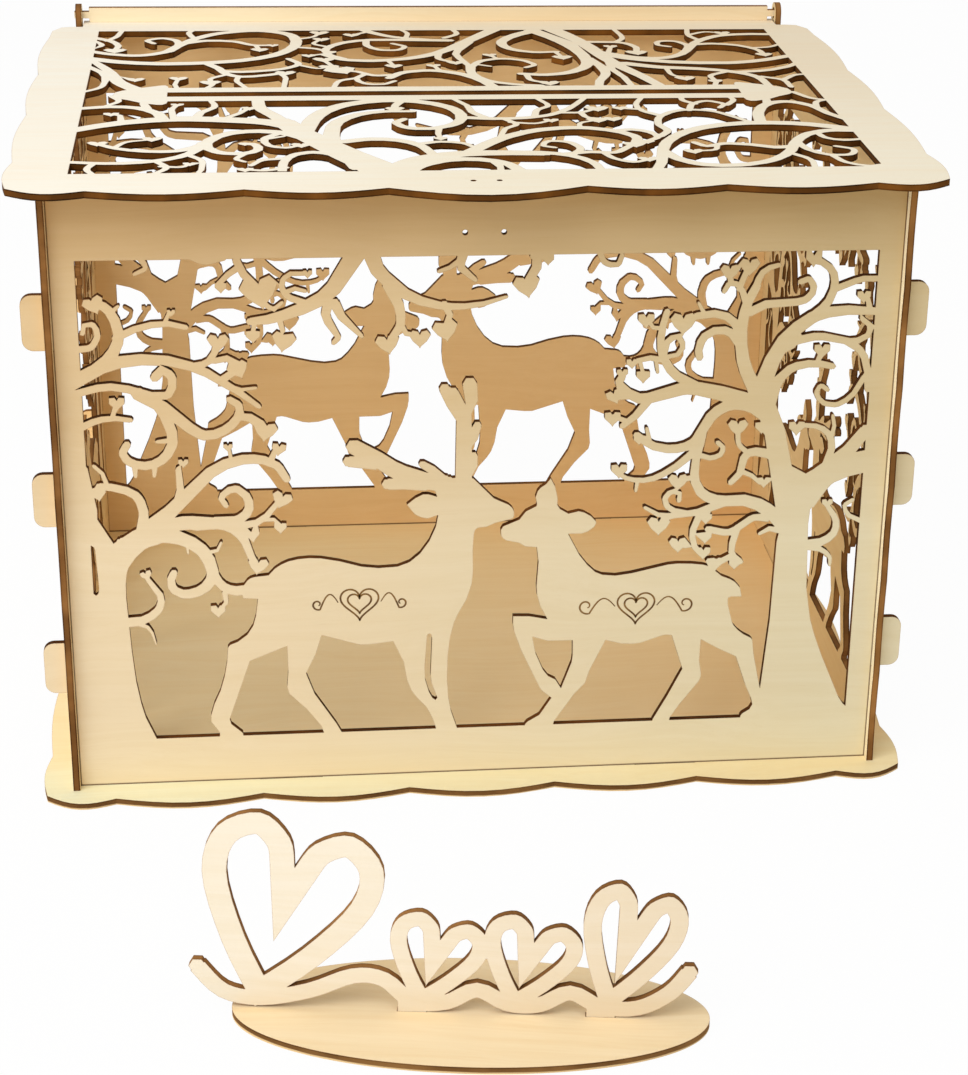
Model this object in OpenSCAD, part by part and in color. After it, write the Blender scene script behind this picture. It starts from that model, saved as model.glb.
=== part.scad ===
// Wedding card box: a laser-cut plywood box with fretwork walls, a hinged lid with a card
// slot, and a small ornament on an oval foot that stands in front of it.
// Origin: underside of the base plate, under the middle of the box. X right, Y back, Z up.

/* [Box] */
// Width between the side panels
box_w = 300; // [260:1:360]
// Depth over the front and back panels
box_d = 242; // [210:1:300]
// Height of the walls above the base plate
wall_h = 230; // [200:1:280]
// Thickness of the plywood sheet
ply = 2.5; // [2:0.1:4]
// Width of material that the laser takes from each cut edge
kerf = 0.1; // [0.05:0.01:0.2]

/* [Windows] */
// Width of the upright rails beside the front and back windows
end_rail = 9; // [6:0.5:20]
// Width of the upright rails beside the side windows
side_rail = 14; // [8:0.5:24]
// Height of the rail under each window
bottom_rail = 19; // [10:0.5:40]
// Height of the rail over each window
top_rail = 25.5; // [15:0.5:40]
// Width of the narrowest gap that the laser leaves between two branches
least_gap = 0.8; // [0.4:0.1:1.2]

/* [Tabs] */
// Height of the tabs that pass through the side panels
tab_h = 20.5; // [10:0.5:30]
// Distance from one side tab to the next
tab_pitch = 66.5; // [40:0.5:80]
// Height of the middle of the lowest side tab
tab_first = 49.5; // [30:0.5:60]
// How far the side tabs stand out beyond the side panels
tab_out = 8; // [4:0.5:14]
// Radius of the outer corners of the side tabs
tab_corner = 4; // [1:0.5:8]
// Width of the tabs that stand in the base plate
foot_tab_w = 23; // [10:0.5:40]
// Distance from the middle of a panel to the middle of its foot tabs
foot_tab_x = 71.5; // [40:0.5:95]
// Distance that the side panels reach past the front and back panels
side_over = 4; // [2:0.5:10]
// Clearance between a tab and its slot
tab_fit = 0.1; // [0.05:0.05:0.4]

/* [Lid and hinge] */
// Distance that the lid and base reach past the side panels
edge_out = 9.5; // [6:0.5:20]
// Distance that the lid's front edge reaches past the front panel
lid_front = 13; // [8:0.5:24]
// Distance that the base's front edge reaches past the front panel
base_front = 11; // [8:0.5:24]
// Bulge of the small scallops
scallop = 5; // [2:0.5:9]
// Bulge of the wide scallop in the middle of the lid's front edge
scallop_mid = 10; // [4:0.5:14]
// Running clearance between moving pieces
run_fit = 0.3; // [0.2:0.05:0.6]
// Distance from the front panel to the front edge of the lid's window
lid_window_y = 8.5; // [5:0.5:20]
// Distance from the lid's window to the outer face of the back panel
lid_rail_rear = 11; // [5:0.5:20]
// Distance from the lid's window to the inner faces of the side panels
lid_rail_side = 8; // [4:0.5:20]
// Length of the card slot
slot_l = 222; // [150:1:230]
// Width of the card slot
slot_w = 6.5; // [4:0.5:14]
// Width of the straight bars on both sides of the card slot
slot_bar = 7.5; // [4:0.5:12]
// Distance of the hinge axis behind the back panel
hinge_back = 8; // [7:0.5:14]
// Height of the hinge axis above the top of the lid
hinge_rise = 3.2; // [2.6:0.1:4.5]
// Height of the hinge rail
rail_h = 6.4; // [5.5:0.1:10]
// Distance from the rail's ends to the side panels
rail_gap = 3; // [1:0.5:8]
// Height of the rail's end pins
pin_h = 3; // [2:0.1:3.6]
// How far the pins stand out beyond the ears
pin_out = 0.6; // [0.2:0.1:3]
// Clearance round the pins in the holes of the ears
pin_fit = 0.35; // [0.3:0.05:0.6]
// Width of the ears round their holes
ear_wall = 2.3; // [1.5:0.1:3]

/* [Lock holes] */
// Radius of the small lock holes
lock_r = 1; // [0.6:0.1:2]
// Distance between the two lock holes in the front panel
lock_front_gap = 13.6; // [8:0.1:24]
// Height of the front panel's lock holes below the top of the walls
lock_front_drop = 17; // [6:0.5:20]
// Distance between the two lock holes in the lid
lock_lid_gap = 9; // [6:0.1:24]
// Distance of the lid's lock holes in front of the front panel
lock_lid_y = 5; // [2:0.5:8]

/* [Ornament] */
// Length of the ornament's oval foot
foot_l = 155; // [110:1:200]
// Width of the oval foot
foot_w = 62; // [40:1:90]
// Distance from the front panel to the middle of the foot
foot_y = 160; // [60:1:220]
// Sideways distance from the middle of the box to the middle of the foot
foot_x = 17; // [0:1:60]
// Angle that the ornament is turned by
foot_turn = 8; // [0:1:30]
// Height of the ornament above its foot
ornament_h = 71; // [50:1:100]
// Width of the tabs under the ornament
ornament_tab_w = 9.5; // [5:0.5:14]

/* [Hidden] */

birch = [0.93, 0.83, 0.66];
birch_light = [0.97, 0.92, 0.81];
$fn = 48;

// Largest distance that the straight bits of a smooth line stray from the true curve
$stray = 0.24;

// Size of the drawing that each piece of fretwork is fitted from
end_art = [282, 185.5];
lid_art = [284, 222.5];
slot_drawn = 111.5;                      // distance of the card slot behind the lid's window front
ornament_art = [155, 71];                // length of the foot and height of the ornament

lid_z = ply + wall_h + run_fit;          // underside of the closed lid
hinge_y = box_d / 2 + hinge_back;
hinge_z = lid_z + ply + hinge_rise;
lid_rear = hinge_back + ply / 2 + 1;     // how far the lid reaches behind the back panel
lid_window_w = box_w - 2 * lid_rail_side;
lid_window_d = box_d - lid_window_y - lid_rail_rear;
lid_fit = [lid_window_w / lid_art[0], lid_window_d / lid_art[1]];
slot_y = lid_window_y - box_d / 2 + slot_drawn * lid_fit[1];
ear_hole_r = norm([ply, pin_h]) / 2 + pin_fit;
ear_r = ear_hole_r + ear_wall;
tabs = [for (i = [0:2]) tab_first + i * tab_pitch];
side_x = box_w / 2 + ply;                // outer face of a side panel

// ---- Smooth lines --------------------------------------------------------------------

// Point t of the way from b to c on a smooth line through a, b, c and d
function curve_point(a, b, c, d, t) =
    0.5 * (2 * b + (c - a) * t + (2 * a - 5 * b + 4 * c - d) * t * t
    + (3 * b - a - 3 * c + d) * t * t * t);

// Four points from b up to c, the last one left out
function span_points(a, b, c, d) = [for (k = [0:3]) curve_point(a, b, c, d, k / 4)];

// Distance of the point q from the line through a and b
function stray(q, a, b) = let (u = b - a, v = q - a)
    norm(u) == 0 ? norm(v) : abs(u[0] * v[1] - u[1] * v[0]) / norm(u);

// Numbers of the points from i to j of the line p that it needs to stay within $stray
function needed(p, i, j) = let (
    off = [for (k = [i:j]) stray(p[k], p[i], p[j])], m = i + search(max(off), off)[0])
    j < i + 2 || max(off) < $stray ? [i] : concat(needed(p, i, m), needed(p, m, j));

// Smooth open line through the points p
function smooth(p) = let (n = len(p) - 1) concat(
    [for (i = [0:n-1]) each span_points(p[max(i-1, 0)], p[i], p[i+1], p[min(i+2, n)])], [p[n]]);

// Smooth closed outline through the points p; a point given twice is a sharp corner
function smooth_loop(p) = let (
    n = len(p),
    c = [for (i = [0:n]) if (i == n || p[i] != p[(i+1) % n]) each i == n ? [p[0]]
        : span_points(p[(i+n-1) % n], p[i], p[(i+1) % n], p[(i+2) % n])])
    [for (i = needed(c, 0, len(c) - 1)) c[i]];

// Unit vector across a line at its point i
function across(c, i) = let (
    a = c[max(i-1, 0)], b = c[min(i+1, len(c)-1)], d = (b - a) / norm(b - a)) [-d[1], d[0]];

// Branch: a tapered strip along a smooth line, w0 wide at its root and w1 at its tip
module branch(w0, w1, p) {
    c = smooth(p);
    n = len(c) - 1;
    h = [for (i = [0:n]) across(c, i) * (w0 + (w1 - w0) * i / n) / 2];
    keep = concat(needed(c, 0, n), [n]);
    for (k = [1:len(keep)-1]) let (i = keep[k-1], j = keep[k])
        polygon([c[i] - h[i], c[j] - h[j], c[j] + h[j], c[i] + h[i]]);
    translate(c[0]) circle(d = w0, $fn = 6);
    translate(c[n]) circle(d = w1, $fn = w1 < 3 ? 5 : 6);
}

// Branches given as rows of root width, tip width and points
module branches(rows) {
    for (b = rows) branch(b[0], b[1], b[2]);
}

// Heart with its point at the bottom, s wide, turned by a
module heart(s, a = 0) {
    step = s < 7.5 ? 36 : 30;
    rotate(a) polygon([for (t = [0:step:360 - step]) s / 32 * [16 * pow(sin(t), 3),
        13 * cos(t) - 5 * cos(2 * t) - 2 * cos(3 * t) - cos(4 * t)]]);
}

// Hearts given as rows of x, y, width and turn
module hearts(rows) {
    for (r = rows) translate([r[0], r[1]]) heart(r[2], r[3]);
}

// ---- Fretwork of the walls: x from the middle, y up from the base plate ------------------

left_tree_branches = [
    // trunk and its two limbs
    [9, 9, [[-139, 60], [-138, 75], [-136, 90]]],
    [7, 5, [[-142, 96], [-141, 112], [-143, 128]]],
    [8, 5, [[-136, 92], [-128, 98], [-120, 103], [-108, 106], [-96, 105.5]]],
    [6, 3, [[-122, 103], [-114, 109], [-108, 115], [-102, 121], [-96, 126.5], [-88, 129.8],
            [-80, 130], [-74, 127.5], [-70.5, 122]]],
    [3.6, 2.4, [[-110, 112], [-108.4, 119], [-108.8, 127]]],
    // low curls beside the trunk
    [4, 2, [[-132, 67], [-124, 67.8], [-118.5, 71.5], [-117, 76.5], [-119.5, 81.5],
            [-121.7, 84.5]]],
    [3, 0.8, [[-131, 66.5], [-125.5, 66.5], [-121.5, 64], [-119.6, 58]]],
    [6, 3, [[-130, 98], [-118, 101], [-109, 100], [-102, 95.5], [-98.6, 89], [-98.4, 84],
            [-102, 79.5], [-108, 77.8], [-112, 79.5], [-113.3, 83], [-112, 86.5]]],
    [3, 4.5, [[-98.5, 92], [-97.3, 85], [-94.5, 80.5], [-90, 78.6], [-84, 79]]],
    [2, 1.2, [[-100, 94], [-96, 95], [-94.6, 98]]],
    [2.4, 1.6, [[-94, 78], [-93.6, 74], [-96, 71]]],
    [1.8, 1, [[-107, 99], [-106.6, 94]]],
    // limb over the deer's back
    [4.6, 2.6, [[-104, 105], [-96, 105.3], [-90, 103], [-86, 98], [-84, 92], [-82, 88]]],
    [4.2, 2.4, [[-97, 106.2], [-89, 106.5], [-84.6, 110], [-84.6, 115], [-88, 118.6],
                [-92, 118], [-94, 115], [-92.4, 112.4]]],
    [3.4, 2.2, [[-91, 105], [-83, 105], [-78, 108], [-74, 113]]],
    [2, 1.6, [[-80, 106.5], [-75.5, 106.5], [-73, 104]]],
    // arch beside the frame
    [4, 3, [[-123, 103], [-121.8, 111], [-124.5, 117.4], [-131, 120.3], [-137, 121]]],
    [2, 1.6, [[-134, 121], [-135.6, 126], [-138.5, 129]]],
    // small sprouts on the middle limb
    [1.8, 1.4, [[-90, 129.5], [-90.6, 134]]],
    [2.6, 2, [[-76, 129.5], [-74, 134]]],
    [1.8, 1.4, [[-109, 127], [-106, 129.5]]],
    // the two crossing scrolls
    [3, 3.6, [[-142, 156.6], [-133, 158.6], [-125, 157.6], [-117, 155], [-111, 155.5],
              [-109.6, 161], [-112.6, 164.3], [-115.6, 161.8]]],
    [5, 2.8, [[-122, 156], [-113, 150.5], [-106, 144], [-99, 139.6], [-92, 141.4],
              [-87.3, 146], [-86.7, 150.5], [-90, 153]]],
    [4.4, 3, [[-116, 153.5], [-111.6, 145], [-110.4, 137.5], [-113.4, 131.5], [-119, 128.6],
              [-125, 129.6], [-128, 133.2], [-126.4, 136.8]]],
    [2.4, 1.6, [[-111, 138], [-116, 137.6]]],
    [2.6, 1.6, [[-124, 129], [-124, 124.5]]],
    [2.6, 1.6, [[-117, 129], [-117.4, 124.5]]],
    [3, 4, [[-87, 146.5], [-83, 146], [-79, 143]]],
    // long arched limb and its twigs
    [5.4, 2, [[-142, 161.5], [-134, 165.8], [-125, 168.2], [-115, 168.4], [-107, 167],
              [-99, 164], [-93, 160], [-87, 156], [-82.4, 152.2], [-79.5, 150]]],
    [2, 1.4, [[-89, 157.6], [-85.5, 156.6], [-80.5, 157.2]]],
    [3, 2.4, [[-103, 165.5], [-97.5, 166.8], [-94.6, 170.5], [-93.6, 175]]],
    [2.4, 3, [[-95, 167.5], [-90.4, 168.4], [-86.5, 166]]],
    [3, 3, [[-92, 160.6], [-88.5, 163]]],
    [4.6, 3.4, [[-136, 165], [-130.4, 170], [-127.4, 176.6], [-128.4, 183], [-131, 187.4],
                [-135, 189.5]]],
    [2, 1.4, [[-129.4, 186], [-127, 188.2]]],
    [3, 2.2, [[-128.4, 176.6], [-122, 179.6], [-116, 181.2], [-110, 181.5], [-104, 180]]],
    [1.8, 1.6, [[-111.5, 181.5], [-109.6, 185.6]]],
    [2.8, 2, [[-142, 172.6], [-137, 173.4], [-134.6, 177.6], [-135.8, 181.4], [-139, 181.4],
              [-139.6, 178.4]]],
    [3, 2, [[-142, 143.6], [-136, 146.2], [-130, 146.8], [-124.6, 146]]],
    [2, 1.8, [[-131, 147], [-129.6, 152]]],
];

left_tree_hearts = [
    [-122, 86, 5, 20], [-96.6, 71, 6.5, 0], [-83.6, 101, 7, 10], [-81.6, 88.6, 8, -10],
    [-72.4, 114.4, 8, -20], [-73.2, 103.4, 5.5, 0], [-137.6, 118.6, 7, 10],
    [-73, 134, 6, -10], [-91, 135, 4, 0], [-107, 129.4, 4.5, 0], [-129.2, 152.6, 6.5, 0],
    [-77.6, 141, 9, -10], [-93.2, 174.6, 8, 0], [-86.6, 164.4, 8, 20],
    [-135.4, 189, 8, 20], [-109, 185.6, 3.6, 0],
];

right_tree_branches = [
    // twin limbs over the trunk
    [9, 7, [[113, 108], [110, 122], [107, 136], [103, 146], [101, 152]]],
    [10, 9, [[119, 108], [126, 118], [134, 122], [143, 124]]],
    // low limb to the left of the trunk
    [6, 3, [[115, 96], [110, 101.6], [104, 106.6], [97, 109.3], [88, 109.3], [81.6, 112],
            [78.4, 117], [78, 124], [79.4, 131]]],
    [3.6, 1.6, [[89, 108.4], [80, 105], [72, 104], [65, 104.4], [60, 107.4]]],
    [2.6, 2.2, [[76, 104.6], [69.6, 106.4], [67.4, 110.4], [69.6, 113.4], [72.8, 112.6],
                [72.6, 109.8]]],
    [3, 3, [[107, 101.6], [101, 102.2], [96.4, 99], [92, 96.6], [88, 97], [84, 98]]],
    [3, 2.4, [[95, 98.4], [93.4, 92], [93.6, 87.6], [97, 84.4]]],
    [2.6, 3, [[93.4, 87], [89, 84.6], [85, 85]]],
    [3, 2.4, [[81, 105], [78.4, 98], [78.8, 92], [81.4, 88.6]]],
    [3, 1.6, [[112, 96.6], [107, 97.6], [103.4, 95.6]]],
    [2, 1.6, [[84.4, 97.6], [83, 95.6]]],
    [2.4, 1.6, [[78, 92], [75.6, 91.4], [73, 92]]],
    [2.4, 1.6, [[72, 104], [66.6, 102.4]]],
    [2.4, 1.6, [[84, 106], [83, 102.6]]],
    // scroll to the middle of the window
    [5, 3, [[104, 142.6], [97, 146.4], [90, 147], [84, 143.6], [80.4, 138], [77, 132.6],
            [71, 130.4], [64, 131], [59, 133.6], [56, 136]]],
    [3.4, 3.4, [[80.6, 139], [79.4, 131]]],
    [2, 1.6, [[61, 133], [59.6, 138.6]]],
    [3.4, 1.8, [[79, 131], [74, 125.8], [68, 121.4], [61, 118.4], [54, 118.8], [50, 121]]],
    [2, 1.4, [[57, 118.6], [56.4, 114]]],
    [2.4, 2.4, [[78, 119], [72.6, 118]]],
    [2.4, 2.2, [[80, 127.4], [83.4, 126.4], [87.2, 127.6], [88, 130.6], [86, 132.4]]],
    // short limb inside the arch
    [4.4, 2.6, [[111, 124], [105, 127.6], [99, 128.4], [96, 126], [94.8, 120], [91.6, 116.4]]],
    [2.2, 2.2, [[98, 127.6], [94, 131.4], [93.2, 137]]],
    [2.2, 2, [[108, 133], [104.4, 135], [102, 138]]],
    [2.2, 1.8, [[95, 121], [99.4, 119], [102.6, 116]]],
    // long limb to the left
    [7, 3, [[104, 143], [97, 147.8], [90, 150.4], [82, 152.6], [74, 153.8], [66, 152],
            [58, 150], [52.4, 152.2], [49, 156], [50, 158.6]]],
    [3.4, 2.6, [[60, 149.6], [55.4, 143.6], [50.6, 139.6]]],
    [2.4, 2, [[53, 151], [48, 150.6]]],
    [2.2, 2, [[52, 141.6], [47, 143.6]]],
    [4, 2.6, [[77, 154.4], [70, 158.4], [65.4, 164], [63.6, 170], [63.8, 176], [65.4, 183]]],
    [2.6, 2, [[65, 164.6], [60, 165.6], [55, 164.6]]],
    [1.8, 1.4, [[62, 165], [62.8, 160]]],
    [1.8, 1.6, [[56, 165], [57.6, 159.6]]],
    [2, 1.8, [[64, 176.6], [60.6, 177], [58.4, 180]]],
    [2.8, 2, [[64.6, 166], [65.8, 171.4], [69.4, 173.4], [71.6, 170], [69.8, 166.6],
              [66.8, 166]]],
    // middle limbs
    [6, 3.4, [[103, 144], [98.4, 153], [94.4, 162], [92.8, 170], [92.8, 178], [94.4, 186],
              [97.4, 192]]],
    [3.6, 3, [[93, 169], [89, 174.4], [84, 175.6], [79.4, 173.4], [77.4, 169], [77.8, 165.4]]],
    [3.6, 3, [[92.8, 174], [88.4, 179.8], [82.6, 181.8], [76, 181]]],
    [2, 1.4, [[79, 181.6], [76.6, 186]]],
    [2.8, 2, [[94, 185], [91.4, 191.6], [87.6, 193], [85.6, 190]]],
    [2.6, 2.4, [[91, 191], [93.6, 198]]],
    [2.6, 2, [[88, 193], [87.2, 197]]],
    [3, 2, [[96.6, 190], [98.6, 196], [101.6, 198.6], [105, 199.6]]],
    // limbs to the right
    [7, 3, [[101, 146], [102.6, 158], [107, 169], [113, 176], [120, 180.6], [128, 182.2],
            [135, 182.2], [143, 181.6]]],
    [3.6, 2.4, [[95, 182], [101, 185], [109, 185.4], [115, 186.4], [118, 190], [116.4, 194],
                [113, 193.2]]],
    [3.6, 2.6, [[118, 180], [123, 184.6], [125.4, 190], [125, 196], [121.4, 200],
                [117.4, 201]]],
    [2.8, 2.4, [[125, 190], [130, 192], [136, 194], [143, 194]]],
    [3.6, 2.2, [[107, 169], [114, 171.4], [121, 172.6], [128, 171.4], [134, 170.4],
                [139, 172.6], [139.4, 176.6], [136.4, 179]]],
    [2.4, 2, [[139, 183], [138, 186.6]]],
    [6, 5, [[128, 122], [135, 128], [141, 136]]],
    [3, 3, [[131, 170.8], [136.6, 167], [139.6, 161], [140.6, 152]]],
    [4.4, 2.6, [[104, 144], [106.4, 154], [110, 159.4], [115, 161.8], [121, 162.2],
                [127, 161]]],
    [2.4, 2, [[121, 162], [122.4, 167]]],
    [2.4, 2, [[139, 157], [135.4, 150.4], [130, 146.4], [124.4, 147], [121.6, 150.6],
              [123, 153.6], [125.6, 152]]],
    [3.4, 2, [[126.4, 121], [128.6, 129], [127, 135], [122, 138], [116, 138.6]]],
    [2, 1.6, [[128, 132], [129, 138], [128.2, 142]]],
    [2, 1.6, [[114, 173], [112, 169], [108.6, 167]]],
    // curls between trunk and frame
    [4, 2, [[120, 90.6], [127, 91.6], [131.6, 95], [132.2, 100], [130, 104], [128, 107]]],
    [2.8, 1.4, [[121, 90], [127, 88.6], [130.6, 85.6], [131, 82]]],
    [2.2, 1.8, [[142, 99.6], [137, 102], [135, 106], [138, 108.4]]],
];

right_tree_hearts = [
    [65.4, 100.4, 9, 0], [73, 92.4, 7.5, 0], [82.6, 88.8, 6.5, 0], [83, 95, 6, 0],
    [83, 102.6, 5.5, 0], [87.6, 84.4, 6.5, 0], [94.6, 83.6, 5, 0], [50, 122.6, 7, 0],
    [72, 117.6, 8, 0], [57, 134.4, 5, 0], [93.2, 138.4, 8, 0], [102, 138.2, 6, 0],
    [47.4, 151.4, 7, 20], [47, 143, 7, 0], [53.4, 163.8, 5, 0], [57.6, 158.8, 6, 0],
    [58, 180, 7, 0], [71.4, 178.8, 10, 0], [87.4, 197.4, 7.5, 0], [94.4, 199.4, 8, 0],
    [117.4, 202, 7, 0], [122.6, 167.4, 7, 0], [115, 137.8, 7, 0], [128.4, 107.4, 5, 0],
    [104, 116.6, 5.5, 0], [136.6, 187.6, 6, 0], [50, 160, 5, 0],
];

// Branches that hang from the top rail
hanging_branches = [
    [7, 3, [[-44, 207], [-49, 199], [-54, 192], [-60, 188], [-68, 184.6], [-76, 182.4],
            [-82, 181.8]]],
    [4, 2, [[-54, 191], [-55.6, 184], [-53.4, 179], [-51.4, 175.6], [-53, 173.4]]],
    [4, 1.8, [[-52.4, 188], [-50, 183], [-46, 179], [-43, 175.6]]],
    [2.8, 1.8, [[-62, 188], [-69, 191], [-70.6, 195.6], [-67.4, 199], [-62, 199]]],
    [2.2, 1.6, [[-70, 192], [-66, 193.6], [-62.4, 192.6]]],
    [3, 2, [[-87, 207], [-85.4, 202], [-89, 199], [-92.4, 195.6]]],
    [3, 3, [[-86, 204], [-83.6, 199], [-80, 195]]],
    [2.4, 1.6, [[-79, 190], [-74, 186.4], [-70.6, 188.6]]],
    [2.4, 2, [[-72, 184], [-70.6, 178]]],
    [2.2, 1.8, [[-80, 182.4], [-81, 178]]],
    [6, 1.4, [[-40, 207], [-37.4, 200], [-32, 194.4], [-26, 190], [-18, 187], [-9, 186],
              [0, 187], [8, 189.4]]],
    [4.4, 3, [[-34, 195], [-30, 187], [-29.4, 180], [-32, 175.4]]],
    [2.4, 2, [[-29.4, 180], [-27.4, 176.4], [-23.4, 175.6]]],
    [3, 2.4, [[-14, 187], [-12, 183], [-13.4, 179]]],
    [4, 2, [[-7, 207], [-8.4, 201], [-6, 198], [-3, 195.6]]],
    [2.4, 1.6, [[-8.4, 203], [-12, 200.4], [-16, 199]]],
    [4, 3.4, [[18.6, 207], [18.4, 200], [15.6, 195]]],
    [2.6, 2, [[17, 204], [22, 203]]],
    [2.6, 2, [[-104, 207], [-97, 203.6], [-90, 205]]],
    [2.6, 1.6, [[-120, 207], [-117, 202], [-121, 199.6]]],
    [2.6, 2, [[40, 207], [42.4, 201.6], [47, 200.6], [48.6, 204]]],
];

hanging_hearts = [
    [-78.4, 193, 14, 10], [-70.4, 174.6, 9, -10], [-81, 176.6, 6, 0], [-34, 173, 9, 10],
    [-22.6, 174.8, 8, 0], [-13.6, 177.6, 9.5, 10], [15, 193.6, 10, 10], [-91.6, 194.6, 5, 0],
    [-61.6, 199, 4, 0], [22.4, 203, 5, 0],
];

// Trunks, from the rail to where they fork
left_trunk = [[-150, 10], [-150, 10], [-121, 10], [-121, 10], [-121, 19], [-124.6, 28],
    [-127, 40], [-128.2, 52], [-128.8, 66], [-129.4, 80], [-128, 89], [-122, 96],
    [-116, 98.6], [-120, 104], [-126, 103], [-132.5, 98], [-132.5, 98], [-136, 104],
    [-139.6, 111.6], [-143, 122], [-150, 122], [-150, 122]];
right_trunk = [[107, 10], [107, 10], [107.2, 33], [107.2, 33], [108.4, 46], [109.2, 60],
    [109.8, 76], [110, 92], [112.3, 101], [112.3, 101], [113.2, 108], [111.6, 118],
    [109, 125], [119.5, 119.5], [119.5, 119.5], [124, 121.6], [125.6, 116], [123, 110],
    [121.8, 99], [122.3, 86], [122.8, 73], [125, 60], [129, 48], [134, 36], [140, 23.5],
    [150, 16], [150, 16], [150, 10], [150, 10]];

// Stag: walks to the right with its head up
stag = [[-88, 79.6], [-88, 79.6], [-84.6, 83.6], [-78, 84.6], [-78, 84.6], [-74.6, 88],
    [-69, 90.4], [-61, 91], [-52, 89.4], [-44, 87], [-36, 86.2], [-29.4, 87], [-24, 90.2],
    [-19.4, 96.4], [-17, 102], [-16.2, 106.4], [-16.2, 106.4], [-20, 105.2], [-24.6, 107],
    [-27.6, 111], [-27.6, 111], [-24.4, 113.6], [-20.6, 115.2], [-16.6, 114], [-17.6, 118],
    [-13, 121], [-4.4, 121.2], [-1, 118.4], [2.6, 114.8], [5, 112.2], [9, 110.6],
    [11.6, 108], [11.8, 105], [9.6, 103.6], [5, 102.8], [1.6, 101.3], [-1.4, 101],
    [-2.8, 99], [-3.2, 92], [-3, 84], [-3.8, 77], [-6, 71], [-9.4, 64.6], [-11.4, 57],
    [-12.4, 47], [-12.4, 37], [-11.4, 28], [-9.6, 22], [-8.4, 18], [-8.4, 14], [-8.4, 14],
    [-16.6, 14], [-16.6, 14], [-17, 19.6], [-20.4, 28], [-25.4, 34], [-27.8, 40],
    [-28.6, 46], [-30.4, 51], [-32.8, 56], [-32.8, 56], [-38, 55.4], [-45, 55],
    [-52, 57.4], [-59, 59.4], [-59, 59.4], [-61.4, 51.6], [-65, 44], [-65, 44],
    [-62, 35.4], [-57, 27.4], [-52, 18.6], [-52, 14], [-52, 14], [-59, 14], [-59, 14],
    [-59.2, 20], [-64, 27.4], [-69, 33], [-72.2, 37], [-71.8, 45], [-72, 55.4],
    [-72, 55.4], [-78, 52.8], [-85.6, 49.8], [-85.6, 49.8], [-88, 43], [-91, 34],
    [-93.7, 26], [-92, 22.6], [-89, 20], [-88.4, 14], [-88.4, 14], [-98, 14], [-98, 14],
    [-97.8, 20.4], [-100.8, 25], [-100, 31], [-97, 38], [-94.8, 46], [-93.8, 53],
    [-93.4, 56.4], [-90, 58], [-86.4, 60.8], [-83.6, 66], [-82.2, 75], [-82.2, 75],
    [-87.6, 75.4], [-87.6, 75.4]];
stag_leg_gap = [[-20, 58], [-18.5, 58], [-18.4, 52], [-19, 45], [-18.5, 38], [-16.4, 32],
    [-18, 32], [-20.4, 38], [-20.9, 45], [-20.3, 52]];
antlers = [
    [7, 6, [[-13, 118.6], [-22, 120.6], [-31, 124.2], [-38, 129], [-46.4, 134]]],
    [5.4, 4.4, [[-38, 127.4], [-44, 127.8], [-48.4, 128.4]]],
    [5, 4.6, [[-20, 118.6], [-28, 119.2], [-34.4, 119.2]]],
    [4, 3, [[-15, 121], [-18.4, 124.4], [-21.8, 126.6]]],
    [6.4, 5.6, [[-6.8, 117], [-6.8, 130], [-6.6, 140], [-6.8, 149]]],
    [5.6, 4.4, [[-7.6, 145], [-11, 150], [-13.8, 155.4]]],
    [4.6, 3.4, [[-8.6, 149], [-10.6, 154.4]]],
    [4.6, 5.6, [[-6.4, 146], [-4.2, 151], [-4.8, 157]]],
    [4, 3.4, [[-6, 133], [-3.4, 136.6], [-2, 141.2]]],
    [4.6, 3.6, [[-6, 122], [-3.6, 126], [-3.4, 129.4]]],
];

// Doe: stands to the left with one foreleg raised
doe = [[6.8, 100], [8.4, 102], [13.6, 104], [16, 107.2], [19.8, 109.2], [19.4, 112.6],
    [20.6, 115.8], [23.2, 117.8], [25, 120.2], [25, 120.2], [26.8, 116.6], [27.8, 112],
    [28, 108.6], [31.8, 105.9], [35.6, 106.8], [39.4, 105.2], [42.2, 102.4], [41, 99.6],
    [37, 97.6], [32, 97.6], [32, 97.6], [35.4, 90.6], [39.4, 85], [43.6, 81.4], [50, 80.4],
    [58, 81.6], [66, 83.7], [73, 84.6], [80, 84.2], [85.4, 83], [90, 79], [94.4, 77],
    [97.4, 73.8], [98.2, 70], [98.2, 70], [93, 69.6], [94, 64], [95.6, 58.4],
    [99.4, 54.6], [103.2, 52], [104, 46], [105.4, 40], [107.4, 32], [112, 30], [112, 12],
    [112, 12], [100, 12], [100, 12], [100, 19.6], [103.4, 22.4], [104.3, 25.4],
    [101.4, 32.4], [99, 39.4], [97, 45], [97, 45], [90, 48.6], [83.4, 52.6], [83.4, 52.6],
    [83.2, 44], [84, 36.6], [80, 30.6], [75, 23.6], [72.4, 18.6], [72.4, 12], [72.4, 12],
    [65.6, 12], [65.6, 12], [66, 19.6], [70, 27], [74, 35], [76.6, 40.6], [76.6, 40.6],
    [75, 46], [72, 54.8], [72, 54.8], [69, 55], [64.6, 53.4], [59, 51.8], [53, 52],
    [47, 53.6], [47, 53.6], [44, 47], [41.2, 41], [39.8, 36], [35.8, 31.6], [31.6, 25],
    [27.6, 18.6], [27.6, 12], [27.6, 12], [17, 12], [17, 12], [17, 19.4], [22.4, 23.2],
    [26.8, 30.2], [26.8, 30.2], [22.4, 34.4], [18.4, 43.4], [14, 53], [12, 60],
    [11.8, 65], [11.8, 65], [18, 64.8], [24.6, 63.4], [24.6, 63.4], [22, 68.4],
    [20.4, 75], [20.8, 83], [20.9, 88], [20.2, 92.6], [20.2, 92.6], [16, 93], [13.6, 94.6],
    [9, 95.6], [7, 97.6]];
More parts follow.
